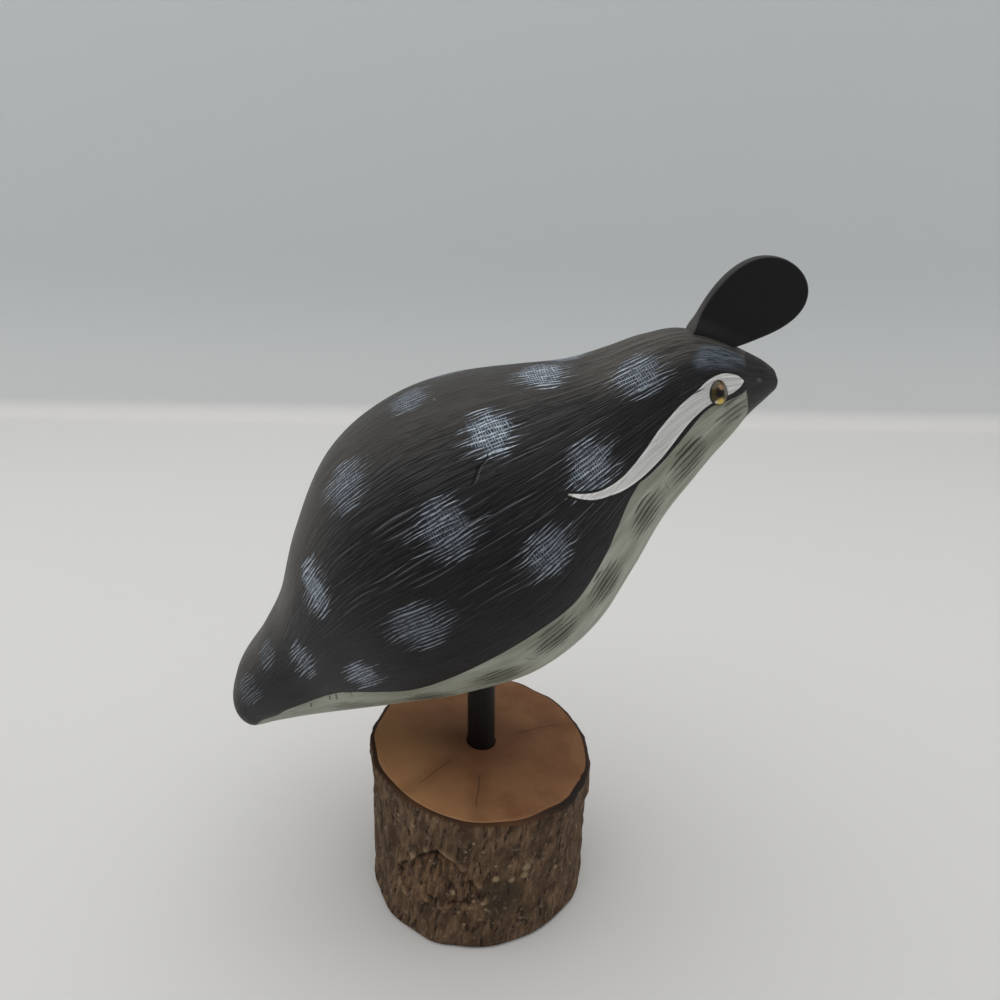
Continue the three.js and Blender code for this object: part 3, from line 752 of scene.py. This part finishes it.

# %% [markdown]
# The dark coat is painted warm and brown on the back and near black on the flank, as painted
# light from above. The scratches of single bristles and the combed grooves are painted inky, a
# painted shade in them, each with a pale lip beside it, where the film was pushed up, painted as
# a highlight.

# %% The dark coat
between = add(MINUS, 1.0, bristles)
cut_in = add(TIMES_PLUS, scratch, 0.5, groove)
groove_shade = add(("Math", {"operation": "MULTIPLY", "use_clamp": True}), cut_in, skin["lines_show"])
dabs = add(SOFT_STEP, brush_noise("brush", 2.4, 1.7, 3.0), 0.40, 0.62)
# Painted light: the coat goes from a lighter brown on the back to near black on the flank, and is lighter
# still on crown and rump.
coat = painted(
    add(PAINT_OVER, skin["flank"], "#433f39", "#141418"),
    ("#0b0b0d", between, skin["lines_show"], 0.8),
    ("#5b5750", skin["crown"], 0.75),
    # Painted shade in the grooves and scratches, and a painted highlight on the lip beside each.
    ("#08080a", groove_shade, 0.9),
    ("#66666c", lip_ridge_and_highlight, skin["lines_show"], 0.78),
    (add(PAINT_OVER, dabs, "#7b8693", "#4a535d"), add(SOFT_STEP, skin["forehead_mm"], -1.4, 1.8), 0.85),
    (add(PAINT_OVER, in_core, "#2a3444", "#56667a"), wash, 0.75),
    ("#090a0d", shade),
    ("#dde9f7", strokes),
    ("#85817b", skin["specks"]))
print("coat mixed with", len(paint.node_tree.nodes), "nodes so far")

# %% [markdown]
# The underside is a grey stone white that turns greener and darker in clouds, with the same
# hatching in dark grey. The stripe is the one clean white on the bird, and it is painted
# brighter along both edges, a painted highlight.

# %% The pale underside and the white stripe
stain = add(SOFT_STEP, add(TIMES_PLUS, blots, 1.6, skin["patch_fill"]), 0.6, 1.5)
pale = painted(
    add(PAINT_OVER, clouds, "#b0b3a5", "#8e9180"),
    ("#7c7d70", between, 0.25),
    ("#5d5b4e", stain, spot_size["Z"], 0.5),
    ("#0f0e0b", pale_strokes))
white = painted(
    "#e2e2df",
    ("#a6a9ae", between, clouds, 0.25),
    # A painted highlight along both edges of the stripe.
    ("#f8f8f6", add(SOFT_STEP, skin["stripe_mm"], 0.6, 0.25)),
    ("#2a2a2a", add(SOFT_STEP, skin["score_mm"], 0.22, 0.08)))
print("paints mixed with", len(paint.node_tree.nodes), "nodes so far")

# %% [markdown]
# The layers go on in the painter's order: pale underside, dark coat, the black outline of the
# stripe, the stripe, and the bill last. Each edge is a tenth of a millimetre soft and wavers a
# little with the bristles. The bristle marks also stand up as a faint relief.

# %% Laying the paints over each other
INK = "#0c0b0c"

waver = add(RANGE, clouds, 0.0, 1.0, -0.08, 0.08)
coat_edge_mm = add(TIMES_PLUS, waver, 1.9, skin["coat_mm"])
line_edge_mm = add(PLUS, skin["line_mm"], waver)
stripe_edge_mm = add(PLUS, skin["stripe_mm"], waver)
coat = painted(coat, (INK, add(SOFT_STEP, coat_edge_mm, 0.62, 0.3, 0.0, 0.85)))
bill = painted(add(PAINT_OVER, clouds, "#231f1e", "#151313"), ("#8f8a82", skin["specks"]))
colour = painted(
    pale,
    (coat, add(SOFT_STEP, coat_edge_mm, -0.12, 0.12)),
    (INK, add(SOFT_STEP, skin["stripe_mm"], -0.65, -0.45)),
    (INK, add(SOFT_STEP, line_edge_mm, 0.42, 0.28)),
    (white, add(SOFT_STEP, stripe_edge_mm, -0.08, 0.1)),
    (bill, add(SOFT_STEP, skin["bill_mm"], -0.25, 0.25)),
    # A pale line a millimetre ahead of the crack: a painted highlight on its edge.
    ("#6b675f", add(SOFT_STEP, skin["crack_highlight_mm"], 0.22, 0.1, 0.0, 0.55)))
# The crack is painted near black: painted shade in its groove.
in_crack = add(SOFT_STEP, skin["crack_mm"], 0.26, 0.12)
add(PAINT_OVER, in_crack, colour, "#050505", to=paint_shader.inputs["Base Color"])
paint_shader.inputs["Specular IOR Level"].default_value = 0.3
gloss = add(TIMES_PLUS, clouds, 0.06, 0.42)
add(TIMES_PLUS, strokes, 0.1, gloss, to=paint_shader.inputs["Roughness"])
sunk = add(PLUS, add(TIMES_PLUS, cut_in, -1.2, bristles), lip_ridge_and_highlight)
ridge = add(TIMES, add(TIMES_PLUS, skin["lines_show"], 0.9, 0.1), sunk)
ridge = add(TIMES_PLUS, strokes, 0.8, ridge)
add(BUMP, Strength=0.9, Distance=0.0004, Height=ridge, to=paint_shader.inputs["Normal"])
place(body, "quail_body", paint)

# %% [markdown]
# The topknot is sawn from a thin board as a teardrop that leans over the bill, and its pointed
# root sits in a slot in the crown. The outline could be drawn as a Bezier curve and given a
# thickness, but a formula keeps it the teardrop of the solid: fat where the half turn's sine is
# near one, pointed at the root. The rings run from the middle of one face out to the rim and in
# again over the other face. Sandpaper has only broken the edges, so each face turns over a small
# round into a rim that is nearly flat, and that rim catches the light from above.

# %% The sawn topknot
TOPKNOT_ROOT = np.array([45.5, 156.9])
TOPKNOT_FAT_PLACE = np.array([63.0, 172.0])
TOPKNOT_HEADING = np.radians(37.2)
TOPKNOT_LENGTH, TOPKNOT_WIDTH = 34.2, 12.5
TOPKNOT_FULLNESS, TOPKNOT_BEND = 1.35, 1.6
TOPKNOT_HALF = 2.0
TOPKNOT_EDGE = 0.45
CROWN_REAR, CROWN_FRONT = np.array([49.0, 164.7]), np.array([61.5, 160.5])
ROOT_FLARE_REAR, ROOT_FLARE_FRONT, ROOT_FLARE_HEIGHT = 1.8, 0.6, 4.0
TOPKNOT_SIDES, FACE_RINGS = 260, 30
EDGE_TURNS, RIM_LEVELS = np.radians([72, 54, 36, 18, 0]), np.array([0.75, 0.5, 0.25, 0.0])


def teardrop(turn):
    """Outline (x, z): along the axis as a half cosine, across it as the sine times a power of
    the half turn's sine, with a parabola added for the bend."""
    share = (1 - np.cos(turn)) / 2
    swell = np.sin(turn) * np.abs(np.sin(turn / 2)) ** TOPKNOT_FULLNESS
    forth = TOPKNOT_LENGTH * share
    aside = 4 * TOPKNOT_BEND * share * (1 - share) + TOPKNOT_WIDTH * swell
    cosine, sine = np.cos(TOPKNOT_HEADING), np.sin(TOPKNOT_HEADING)
    return together(TOPKNOT_ROOT[0] + forth * cosine - aside * sine,
                    TOPKNOT_ROOT[1] + forth * sine + aside * cosine)


def above_crown(spot):
    """Height over the line where the crown meets the topknot, and the share of the way forward."""
    run = CROWN_FRONT - CROWN_REAR
    offset = spot - CROWN_REAR
    forward = np.clip(offset @ run / (run @ run), 0, 1)
    return (offset[..., 1] * run[0] - offset[..., 0] * run[1]) / np.hypot(*run), forward


round_turn = np.linspace(0, 2 * np.pi, TOPKNOT_SIDES, endpoint=False)
outline_xz = teardrop(round_turn)
edge_turn = np.concatenate([np.full(FACE_RINGS, np.pi / 2), EDGE_TURNS, 0 * RIM_LEVELS])
scales = np.concatenate([np.linspace(0.05, 1, FACE_RINGS), np.ones(len(edge_turn) - FACE_RINGS)])
levels = np.concatenate([np.ones(len(edge_turn) - len(RIM_LEVELS)), RIM_LEVELS])
insets, lifts = TOPKNOT_EDGE * (1 - np.cos(edge_turn)), np.sin(edge_turn)
scales, insets, lifts, levels = (
    np.concatenate([half, half[-2::-1]])[:, None] for half in (scales, insets, lifts, levels))
flanks = np.concatenate([-np.ones(len(edge_turn)), np.ones(len(edge_turn) - 1)])[:, None]

rear_low = bell(round_turn - np.radians(38), np.radians(16))
nicks = 0.16 * rear_low * ease(unevenness(round_turn / (2 * np.pi), 0, (150, 1), 31), 0.1, 0.6)
crowned = 0.12 * levels ** 2 + 0.05 * (1 + unevenness(round_turn / (2 * np.pi), 0, (17, 1), 32)) + nicks
outwards = outline_xz - TOPKNOT_FAT_PLACE
reach = scales * (1 - (insets + crowned) / np.linalg.norm(outwards, axis=-1))
knot_xz = TOPKNOT_FAT_PLACE + outwards * reach[..., None]
crown_height, crown_forward = above_crown(knot_xz)
flare = ROOT_FLARE_REAR + (ROOT_FLARE_FRONT - ROOT_FLARE_REAR) * crown_forward
knot_half = TOPKNOT_HALF + flare * (1 - ease(crown_height, 0, ROOT_FLARE_HEIGHT))
knot_y = flanks * ((knot_half - TOPKNOT_EDGE) * levels + TOPKNOT_EDGE * lifts)
knot = together(knot_xz[..., 0], knot_y, knot_xz[..., 1])
rim_mm = (1 - scales) * np.linalg.norm(outwards, axis=-1) + insets
heading_xz = np.array([np.cos(TOPKNOT_HEADING), np.sin(TOPKNOT_HEADING)])
knot_brush = together(knot_xz @ heading_xz, knot_xz @ [-heading_xz[1], heading_xz[0]], knot_y)
topknot = make_skin("topknot_carved", knot, brush=knot_brush, rim_mm=rim_mm, crown_height=crown_height)

# %% [markdown]
# It wears the same black acrylic as the coat, laid on evenly, so the face is almost one tone.
# The rim is painted a dusty grey-brown, a painted highlight where it catches the light from
# above, most of all at the rear root.

# %% Black acrylic with a painted highlight on the rim
black, add, black_shader = new_material("black_acrylic_with_painted_rim_highlight")
knot_at, from_rim, from_crown = (
    add(("Attribute", {"attribute_name": name})).outputs for name in ("brush", "rim_mm", "crown_height"))
cells = add(CELLS, knot_at["Vector"], None, None, (1 / 9, 1 / 0.7, 1 / 0.7))
face = add(PAINT_OVER, add(NOISE, cells, Scale=1.0, Detail=2.0), "#131315", "#1b1b1e")
# A painted highlight on the rim, strongest at the rear root.
root_highlight = add(SOFT_STEP, from_crown["Fac"], 9.0, 2.0)
rim_highlight = add(TIMES, add(SOFT_STEP, from_rim["Fac"], 0.5, 0.05), add(TIMES_PLUS, root_highlight, 0.45, 0.25))
add(PAINT_OVER, rim_highlight, face, "#4f4c49", to=black_shader.inputs["Base Color"])
black_shader.inputs["Roughness"].default_value = 0.55
black_shader.inputs["Specular IOR Level"].default_value = 0.25
place(topknot, "topknot", black)

# %% [markdown]
# The eyes are domed glass, painted from behind. A model could be a clear lens over a painted
# disc. Here the dome itself is coloured and given a clear coat, which looks the same from
# outside: a dark pupil, an amber iris that goes olive towards the edge, and the bright crescent
# below, painted light for the light that the glass gathers from above, with a painted highlight
# over the pupil and a painted glint low down. The beads are not quite round but a little
# egg-shaped, with the narrow end up.

# %% Glass eyes
EYE_PLACE = np.array([53.6, 12.7, 152.9])
EYE_FACING = np.array([0.37, 0.9, 0.23])
EYE_RADIUS, EYE_DOME, EYE_SEAT, EYE_SINK = 2.9, 1.7, 1.6, 0.4
EYE_SIDES, EYE_RINGS = 96, 26
EYE_NARROW, EYE_EGG = 0.88, 0.08
# Painted crescent of light, pupil, painted highlight and painted glint: how far back and up in
# eye radii, where each ends, where it is full, and its tint.
EYE_SPOTS = [(0.1, -0.82, 0.56, 0.2, "#e6c452"), (0.24, 0.03, 0.52, 0.24, "#0b0403"),
             (0.12, 0.42, 0.32, 0.08, "#9a7556"), (0.4, -0.7, 0.17, 0.05, "#ecd9cb")]

glass, add, glass_shader = new_material("amber_glass_painted_behind")
at_eye = add(("Attribute", {"attribute_name": "eye_at"})).outputs["Vector"]
iris = add(PAINT_OVER, add(NOISE, at_eye, Scale=5.0, Detail=2.0), "#55430f", "#2b260f")
for back, up, end, full, tint in EYE_SPOTS:
    away = add(DISTANCE, at_eye, (back, up, 0.0))
    iris = painted(iris, (tint, add(SOFT_STEP, away, end, full)))
dark_rim = add(SOFT_STEP, add(LENGTH, at_eye), 0.82, 0.95)
add(PAINT_OVER, dark_rim, iris, "#14110a", to=glass_shader.inputs["Base Color"])
glass_shader.inputs["Roughness"].default_value = 0.35
glass_shader.inputs["Specular IOR Level"].default_value = 0.15
glass_shader.inputs["Coat Weight"].default_value = 0.6
glass_shader.inputs["Coat Roughness"].default_value = 0.03

ball = (EYE_RADIUS ** 2 + EYE_DOME ** 2) / (2 * EYE_DOME)
lean = np.linspace(np.arcsin(EYE_RADIUS / ball), 0.02, EYE_RINGS)
eye_radii = np.concatenate([[0.6, 1.8, EYE_RADIUS, EYE_RADIUS], ball * np.sin(lean)])
dome_heights = ball * (np.cos(lean) - np.cos(lean[0])) - EYE_SINK
eye_heights = np.concatenate([np.full(3, -EYE_SEAT), [-1.0], dome_heights])
eye_turn = np.linspace(0, 2 * np.pi, EYE_SIDES, endpoint=False)
for side, name in ((-1, "eye_right"), (1, "eye_left")):
    facing = EYE_FACING * (1, side, 1) / np.linalg.norm(EYE_FACING)
    upright = np.array([0, 0, 1]) - facing[2] * facing
    upright /= np.linalg.norm(upright)
    beside = np.cross(upright, facing)
    narrowed = (EYE_NARROW - EYE_EGG * np.sin(eye_turn)) * np.cos(eye_turn)
    spokes = narrowed[:, None] * beside + np.sin(eye_turn)[:, None] * upright
    dome = eye_radii[:, None, None] * spokes + eye_heights[:, None, None] * facing
    dome = dome + EYE_PLACE * (1, side, 1)
    share_out = (eye_radii / EYE_RADIUS)[:, None]
    backwards = side * share_out * np.cos(eye_turn)
    eye_at = together(backwards, share_out * np.sin(eye_turn), 0.0)
    bead = make_skin(name + "_glass", dome, eye_at=eye_at)
    place(bead, name, glass)

# %% [markdown]
# The dowel is birch rod painted black. It runs hidden into belly and log, and a little of its
# grain shows through the paint as lengthwise lines.

# %% The dowel
DOWEL_RADIUS = 4.0
DOWEL_FOOT, DOWEL_HEAD = 26.5, 83.0
DOWEL_SIDES, DOWEL_ROWS = 96, 60

dowel_turn = np.linspace(0, 2 * np.pi, DOWEL_SIDES, endpoint=False)
dowel_share = np.concatenate([[0.0, 0.0], np.linspace(0.004, 0.996, DOWEL_ROWS), [1.0, 1.0]])
dowel_inset = np.concatenate([[2.0, 0.3], np.zeros(DOWEL_ROWS), [0.3, 2.0]])[:, None]
grain_dents = 0.04 * (1 + unevenness(dowel_turn / (2 * np.pi), dowel_share[:, None], (30, 5), 41))
dowel_radius = DOWEL_RADIUS - dowel_inset - grain_dents
dowel_z = DOWEL_FOOT + (DOWEL_HEAD - DOWEL_FOOT) * dowel_share[:, None]
rod = together(dowel_radius * np.cos(dowel_turn), dowel_radius * np.sin(dowel_turn), dowel_z)
dowel = make_skin("dowel_rod", rod)

rod_paint, add, rod_shader = new_material("black_paint_on_birch")
cells = add(CELLS, add(PLACES).outputs["Object"], None, None, (1800, 1800, 90))
grain = add(NOISE, cells, Scale=1.0, Detail=2.0)
add(PAINT_OVER, grain, "#0f0e0e", "#1d1b1a", to=rod_shader.inputs["Base Color"])
add(RANGE, grain, 0.3, 0.7, 0.42, 0.56, to=rod_shader.inputs["Roughness"])
add(BUMP, Strength=0.5, Distance=0.0001, Height=grain, to=rod_shader.inputs["Normal"])
rod_shader.inputs["Specular IOR Level"].default_value = 0.25
place(dowel, "dowel", rod_paint)

# %% [markdown]
# The base is a slice from a young trunk, sawn a little askew and sanded on top, with its bark
# left on. One skin covers it: from the middle of the underside out to the foot, up the bark, over
# the sawn rim and in across the top. Bark is not a pattern but a history, so its marks are laid
# out one by one on the unrolled side, in degrees round and millimetres up: the scar of a lost
# branch with its raised lips, a smooth strip beside it, and the pale pores that bark breathes by.
# Two corrections of the solid go into the skin: it is drawn in a little below the sawn rim, and
# the sawn top is a little lower and more tilted.

# %% The grid on the log
LOG_TOP_RADIUS, LOG_BOTTOM_RADIUS = 32.0, 32.2
LOG_HEIGHT, LOG_TOP_SLOPE = 44.5, -0.095
LOG_LEAN = np.array([-0.6, -1.8])
SAW_EDGE, FOOT_EDGE, FOOT_SHARE = 1.2, 0.8, 0.03
BARK_SWELL, BARK_RIDGE = 0.45, 0.3
ROOT_SWELL, ROOT_SWELL_TURN, ROOT_SWELL_SPREAD = 1.3, np.radians(230), np.radians(32)
LOG_SIDES = 460
UNDER_ROWS, SIDE_ROWS, TOP_ROWS = 8, 124, 80
WAIST_MM = 0.85
SAW_DROP, SAW_TILT = 0.65, 0.02


def bark_radius(turn, share):
    """An uneven round: cosines of two and five waves, thirteen ridges that wander as they climb,
    and a bell-shaped swelling that fades upwards, where a root began."""
    plain = LOG_BOTTOM_RADIUS + (LOG_TOP_RADIUS - LOG_BOTTOM_RADIUS) * share
    swell = 0.6 * np.cos(2 * turn + 0.7) + 0.4 * np.cos(5 * turn + 2.1)
    ridge = np.cos(13 * turn + 3 * share) * (0.6 + 0.4 * np.cos(3 * turn + 9 * share))
    root = bell(turn - ROOT_SWELL_TURN, ROOT_SWELL_SPREAD) * (1 - share) ** 2
    return plain + BARK_SWELL * swell + BARK_RIDGE * ridge + ROOT_SWELL * root


under = np.linspace(0.12, 1, UNDER_ROWS)
side = np.linspace(FOOT_SHARE, 1, SIDE_ROWS)
over = np.radians([22, 45, 67, 90])
top = spread(TOP_ROWS, 0.03, 1, [(0.135, 0.02, 5.0), (1.0, 0.06, 1.8)])[::-1][1:]
share_up = np.concatenate([0 * under, side, np.ones(len(over) + len(top))])[:, None]
inset = np.concatenate([np.full(UNDER_ROWS, FOOT_EDGE), 0 * side, SAW_EDGE * (1 - np.cos(over)),
                        np.full(len(top), SAW_EDGE)])[:, None]
drop = np.concatenate([0 * under, np.full(SIDE_ROWS, SAW_EDGE), SAW_EDGE * (1 - np.sin(over)),
                       0 * top])[:, None]
inwards = np.concatenate([under, np.ones(SIDE_ROWS + len(over)), top])[:, None]
on_side = np.concatenate([0 * under, ease(side, 0.0, 0.08), [0.6, 0.3, 0.1, 0.0], 0 * top])[:, None]
log_turn = np.linspace(0, 2 * np.pi, LOG_SIDES, endpoint=False)
log_degrees = np.degrees(log_turn) + 0 * share_up
log_up = share_up * LOG_HEIGHT + 0 * log_turn
print("log skin:", log_degrees.shape, "points")

# %% [markdown]
# Distances on the bark are true ones, like those on the bird. The relief is low, because young
# bark is thin: ridges of a third of a millimetre that run up the trunk, lips on the scar, and
# pores that stand out as warts. On top, three drying checks run out from the pith as fine
# grooves, and the bark ring lies a little lower than the wood, where the sander tore it.

# %% Marks on the log
RING_FRONT, RING_CHARRED, RING_LEFT, SANDED_EDGE_HIGHLIGHT = (266, 32), (328, 27), (188, 32), (243, 42)
SCAR = [(224.7, 21.5), (235.3, 27.8), (244.7, 32.5), (255.5, 32.7), (264.5, 29.4), (271.2, 23.9),
        (274.2, 17.5), (264.3, 15.8), (253, 14.4), (243.4, 14.6), (232.7, 12.8), (224.1, 15), (224.7, 21.5)]
PITS = [(227.1, 19.0, 1.1), (240.5, 18.8, 0.9), (250.3, 14.4, 0.8), (264.4, 18.6, 0.7)]
PORES = [(234.5, 26.4, 1.0), (244.7, 32.1, 0.6), (226.8, 37.9, 0.6), (237.7, 38.9, 0.6), (258.4, 19.7, 0.8),
         (268.8, 18.3, 0.6), (273.2, 17.9, 0.6), (279.5, 25.7, 1.1), (287.5, 24.6, 1.0), (295.2, 28.0, 1.3),
         (294.3, 24.9, 1.1), (314, 22, 0.7), (325, 18.9, 0.5), (264.6, 35.8, 0.5), (273, 36.5, 0.5),
         (268.4, 39.8, 0.5), (279.3, 30.4, 0.5), (286.2, 30.2, 0.5), (274.8, 14.9, 0.5), (261.3, 13.3, 0.5),
         (272.3, 11.1, 0.5), (264.2, 8.9, 0.5)]
SMOOTH_STRIP = (282.0, 18.5, 7.5, 9.5)
PORE_RISE, PIT_DEPTH, CLEFT_DEPTH, LIP_RISE = 0.4, 0.8, 0.7, 0.95
RING_SINK, CHECK_DEPTH, HOLE_EDGE, HOLE_DEPTH = 0.25, 0.22, (4.12, 4.3), 1.5
CHECKS = [(269.1, 14.5, 30.0), (229.0, 12.5, 29.0), (22.8, 12.0, 32.0)]
BARK_RADIUS, HIDDEN_PORES = 31.6, 46
MM_PER_DEGREE = np.radians(BARK_RADIUS)

chance = np.random.default_rng(51)
hidden_pores = np.stack([chance.uniform(low, high, HIDDEN_PORES) for low, high in (
    (-30, 205), (4, 41), (0.3, 0.9))], axis=-1)


def bark_spots(spots, taller):
    """Sum of bell-shaped spots (degrees, mm up, radius mm), each taller than wide."""
    total = np.zeros(log_degrees.shape)
    for degrees, height, radius in spots:
        gap = (log_degrees - degrees + 180) % 360 - 180
        total += bell(gap * MM_PER_DEGREE, radius) * bell(log_up - height, taller * radius)
    return np.clip(total, 0, 1)


scar_line = np.stack([smooth_curve(np.arange(len(SCAR)), column, np.linspace(0, len(SCAR) - 1, 90))
                      for column in np.array(SCAR).T], axis=-1)
scar_lip = distance_to(scar_line, (log_degrees, log_up), (MM_PER_DEGREE, 1.0))
in_scar = inside(scar_line[:-1], (log_degrees, log_up)) * on_side
pores = bark_spots(PORES, 1.15) + bark_spots(hidden_pores, 1.15)
pits = bark_spots(PITS, 1.4)
waist_mm = WAIST_MM * (1 - ease(share_up, 0.72, 0.93)) * (0.4 + 0.6 * ease(share_up, 0, 0.12))
strip_gap = (log_degrees - SMOOTH_STRIP[0]) * MM_PER_DEGREE / SMOOTH_STRIP[2]
smooth_strip = ease(1 - np.hypot(strip_gap, (log_up - SMOOTH_STRIP[1]) / SMOOTH_STRIP[3]), 0.0, 0.5)
around_log, up_log = log_degrees / 360, log_up / LOG_HEIGHT
ribs = unevenness(around_log + 0.02 * up_log, up_log, (110, 9), 52)
ribs += 0.6 * unevenness(around_log, up_log, (46, 5), 53)
plates = unevenness(around_log, up_log, (38, 12), 54)
rough = (0.26 * ribs + 0.22 * plates) * (1 - 0.7 * smooth_strip) * (1 + 1.4 * in_scar)
lip_torn = ease(unevenness(around_log, up_log, (90, 22), 56), -0.15, 0.7)
cleft_torn = ease(unevenness(around_log, up_log, (64, 20), 57), -0.4, 0.4)
cleft = in_scar * cleft_torn * bell(scar_lip - 1.5, 0.55)
relief_mm = rough + PORE_RISE * pores - PIT_DEPTH * pits - CLEFT_DEPTH * cleft
relief_mm += LIP_RISE * lip_torn * bell(scar_lip, 1.0)
radius = (bark_radius(log_turn, share_up) - inset - waist_mm + relief_mm * on_side) * inwards
front, charred, leftward, sanded_edge_highlight = (
    bell((log_degrees - middle + 180) % 360 - 180, spread_by)
    for middle, spread_by in (RING_FRONT, RING_CHARRED, RING_LEFT, SANDED_EDGE_HIGHLIGHT))
bark_in = 0.7 - 0.2 * front + 1.0 * charred + 0.6 * leftward + 0.3 * unevenness(around_log, 0, (31, 1), 55)
bark_mm = np.where(share_up < 1, 5.0, bark_in + np.where(inwards < 1, radius - radius.max(axis=0), 0))
onto_top = np.concatenate([np.zeros(UNDER_ROWS + SIDE_ROWS), [0.3, 0.8, 1.0, 1.0], 1 + 0 * top])[:, None]
on_top = np.maximum(onto_top * (1 - charred) + (onto_top > 0) * charred, 0)
check_mm = np.full(radius.shape, FAR_MM)
for degrees, start, end in CHECKS:
    wander = np.radians(degrees) + 0.01 * np.sin(radius * 0.5 + degrees)
    beside_mm = radius * np.abs(np.angle(np.exp(1j * (log_turn - wander))))
    past_mm = np.maximum(0, np.maximum(start - radius, radius - end))
    check_mm = np.minimum(check_mm, np.hypot(beside_mm, past_mm) + 0.25 * ease(radius, end - 6, end))
height = LOG_HEIGHT - SAW_DROP + radius * (LOG_TOP_SLOPE * np.cos(log_turn) + SAW_TILT * np.sin(log_turn))
height = share_up * (height - drop)
height -= on_top * (RING_SINK * ease(bark_mm, -0.2, 0.3) + CHECK_DEPTH * bell(check_mm, 0.2))
height -= on_top * (1 - ease(radius, *HOLE_EDGE)) * HOLE_DEPTH
log_grid = together(radius * np.cos(log_turn) + LOG_LEAN[0] * (1 - share_up),
                    radius * np.sin(log_turn) + LOG_LEAN[1] * (1 - share_up), height)
twist = log_turn - 0.004 * log_up
bark_at = together(BARK_RADIUS * np.cos(twist), BARK_RADIUS * np.sin(twist), log_up)
log_marks = dict(
    bark_mm=bark_mm, on_top=on_top, check_mm=check_mm, pores=pores * on_side, pits=pits,
    lip_torn=lip_torn * bell(scar_lip, 0.7), in_scar=in_scar, smooth_strip=smooth_strip,
    charred=charred, front=front, sanded_edge_highlight=sanded_edge_highlight, cleft=cleft)
log = make_skin("log_slice", log_grid, bark_at=bark_at, **log_marks)

# %% [markdown]
# Two finishes share this skin. The top is bare fine-grained wood gone warm brown, darker towards
# the middle. It is painted paler towards the left and front, painted light as if more light fell
# from there, with a painted highlight along the sanded edge and painted shade in the drying
# checks. The bark is grey-brown and never one tone for more than a few millimetres: vertical
# streaks, darker cracks, and pale pores. On the branch scar the raised lips are painted pale, a
# painted highlight, and the cleft inside them dark, a painted shade.

# %% Bark and sawn wood
bark, add, bark_shader = new_material("young_bark_and_sanded_wood")
mark = {name: add(("Attribute", {"attribute_name": name})).outputs["Fac"] for name in log_marks}
bark_place = add(("Attribute", {"attribute_name": "bark_at"})).outputs["Vector"]
where = add(PLACES).outputs["Object"]


def bark_marks(wide_mm, tall_mm, detail, low, high):
    """Noise in cells of wide_mm round the trunk by tall_mm up it, cut to 0 and 1 at its levels."""
    cells = add(CELLS, bark_place, None, None, (1 / wide_mm, 1 / wide_mm, 1 / tall_mm))
    noise = add(NOISE, cells, Scale=1.0, Detail=detail, Roughness=0.6)
    return add(SOFT_STEP, noise, low, high)


mottle, streak, fleck, crack, furrow = (bark_marks(*sizes) for sizes in (
    (5.0, 8.0, 3.0, 0.36, 0.64), (1.2, 6.0, 4.0, 0.34, 0.66), (1.5, 2.2, 3.0, 0.55, 0.70),
    (1.3, 4.5, 3.0, 0.45, 0.35), (1.0, 5.0, 2.0, 0.42, 0.58)))
grey = painted(
    add(PAINT_OVER, mottle, "#564130", "#866c53"),
    ("#4b3a2c", streak, 0.75),
    (add(PAINT_OVER, furrow, "#3f2b1e", "#8b6c50"), mark["in_scar"], 0.5),
    ("#463c2e", mark["smooth_strip"], 0.75),
    ("#2c2119", crack, 0.85),
    ("#a88f78", fleck, 0.65),
    # Painted highlight on the scar's raised lips, and painted shade in the cleft inside them.
    ("#a38669", mark["lip_torn"], 0.7),
    ("#1f150f", mark["cleft"], 0.85),
    (add(PAINT_OVER, fleck, "#a18b6e", "#d4bf99"), add(SOFT_STEP, mark["pores"], 0.2, 0.8)),
    ("#1c1410", add(SOFT_STEP, mark["pits"], 0.2, 1.0, 0.0, 0.7)))

cells = add(CELLS, where, (0.004, -0.002, 0), None, (75, 75, 75))
cloud = add(SOFT_STEP, add(NOISE, cells, Scale=1.0, Detail=4.0, Roughness=0.6), 0.3, 0.7)
from_pith = add(LENGTH, add(STRETCH, where, (1, 1, 0)))
painted_light_side = add(DOT, where, (-0.85, -0.5, 0.0))
rings = add(("TexWave", {"wave_type": "RINGS", "rings_direction": "Z"}), where,
            Scale=220.0, Distortion=2.5, Detail=3.0)
wood = painted(
    add(PAINT_OVER, cloud, "#7c5236", "#946a48"),
    ("#6c442c", add(SOFT_STEP, from_pith, 0.026, 0.005), 0.6),
    # Painted light: paler towards the left and front.
    ("#bd8c5f", add(SOFT_STEP, painted_light_side, 0.004, 0.03, 0.0, 0.6)),
    ("#553624", rings, 0.04),
    ("#5c3a24", add(SOFT_STEP, mark["check_mm"], 4.5, 0.5, 0.0, 0.3)),
    # A painted highlight along the sanded front and left edge.
    ("#bb9168", add(SOFT_STEP, mark["bark_mm"], -1.7, -0.5), mark["sanded_edge_highlight"], 0.7),
    # Painted shade in the drying checks.
    ("#3a2418", add(SOFT_STEP, mark["check_mm"], 0.3, 0.08), 0.45))
ring = painted(
    add(PAINT_OVER, mark["front"], "#3a2214", "#6b4526"),
    ("#221813", mark["charred"]),
    ("#24150d", add(SOFT_STEP, mark["bark_mm"], 0.85, 0.4)))
top_face = painted(wood, (ring, add(SOFT_STEP, mark["bark_mm"], -0.15, 0.2)))
add(PAINT_OVER, mark["on_top"], grey, top_face, to=bark_shader.inputs["Base Color"])
add(RANGE, mark["on_top"], 0.0, 1.0, 0.9, 0.65, to=bark_shader.inputs["Roughness"])
bark_shader.inputs["Specular IOR Level"].default_value = 0.2
height_of = add(TIMES_PLUS, streak, -0.8, fleck)
height_of = add(TIMES, height_of, add(RANGE, mark["on_top"], 0.0, 0.5, 1.0, 0.0))
add(BUMP, Strength=0.9, Distance=0.0008, Height=height_of, to=bark_shader.inputs["Normal"])
place(log, "log_base", bark)
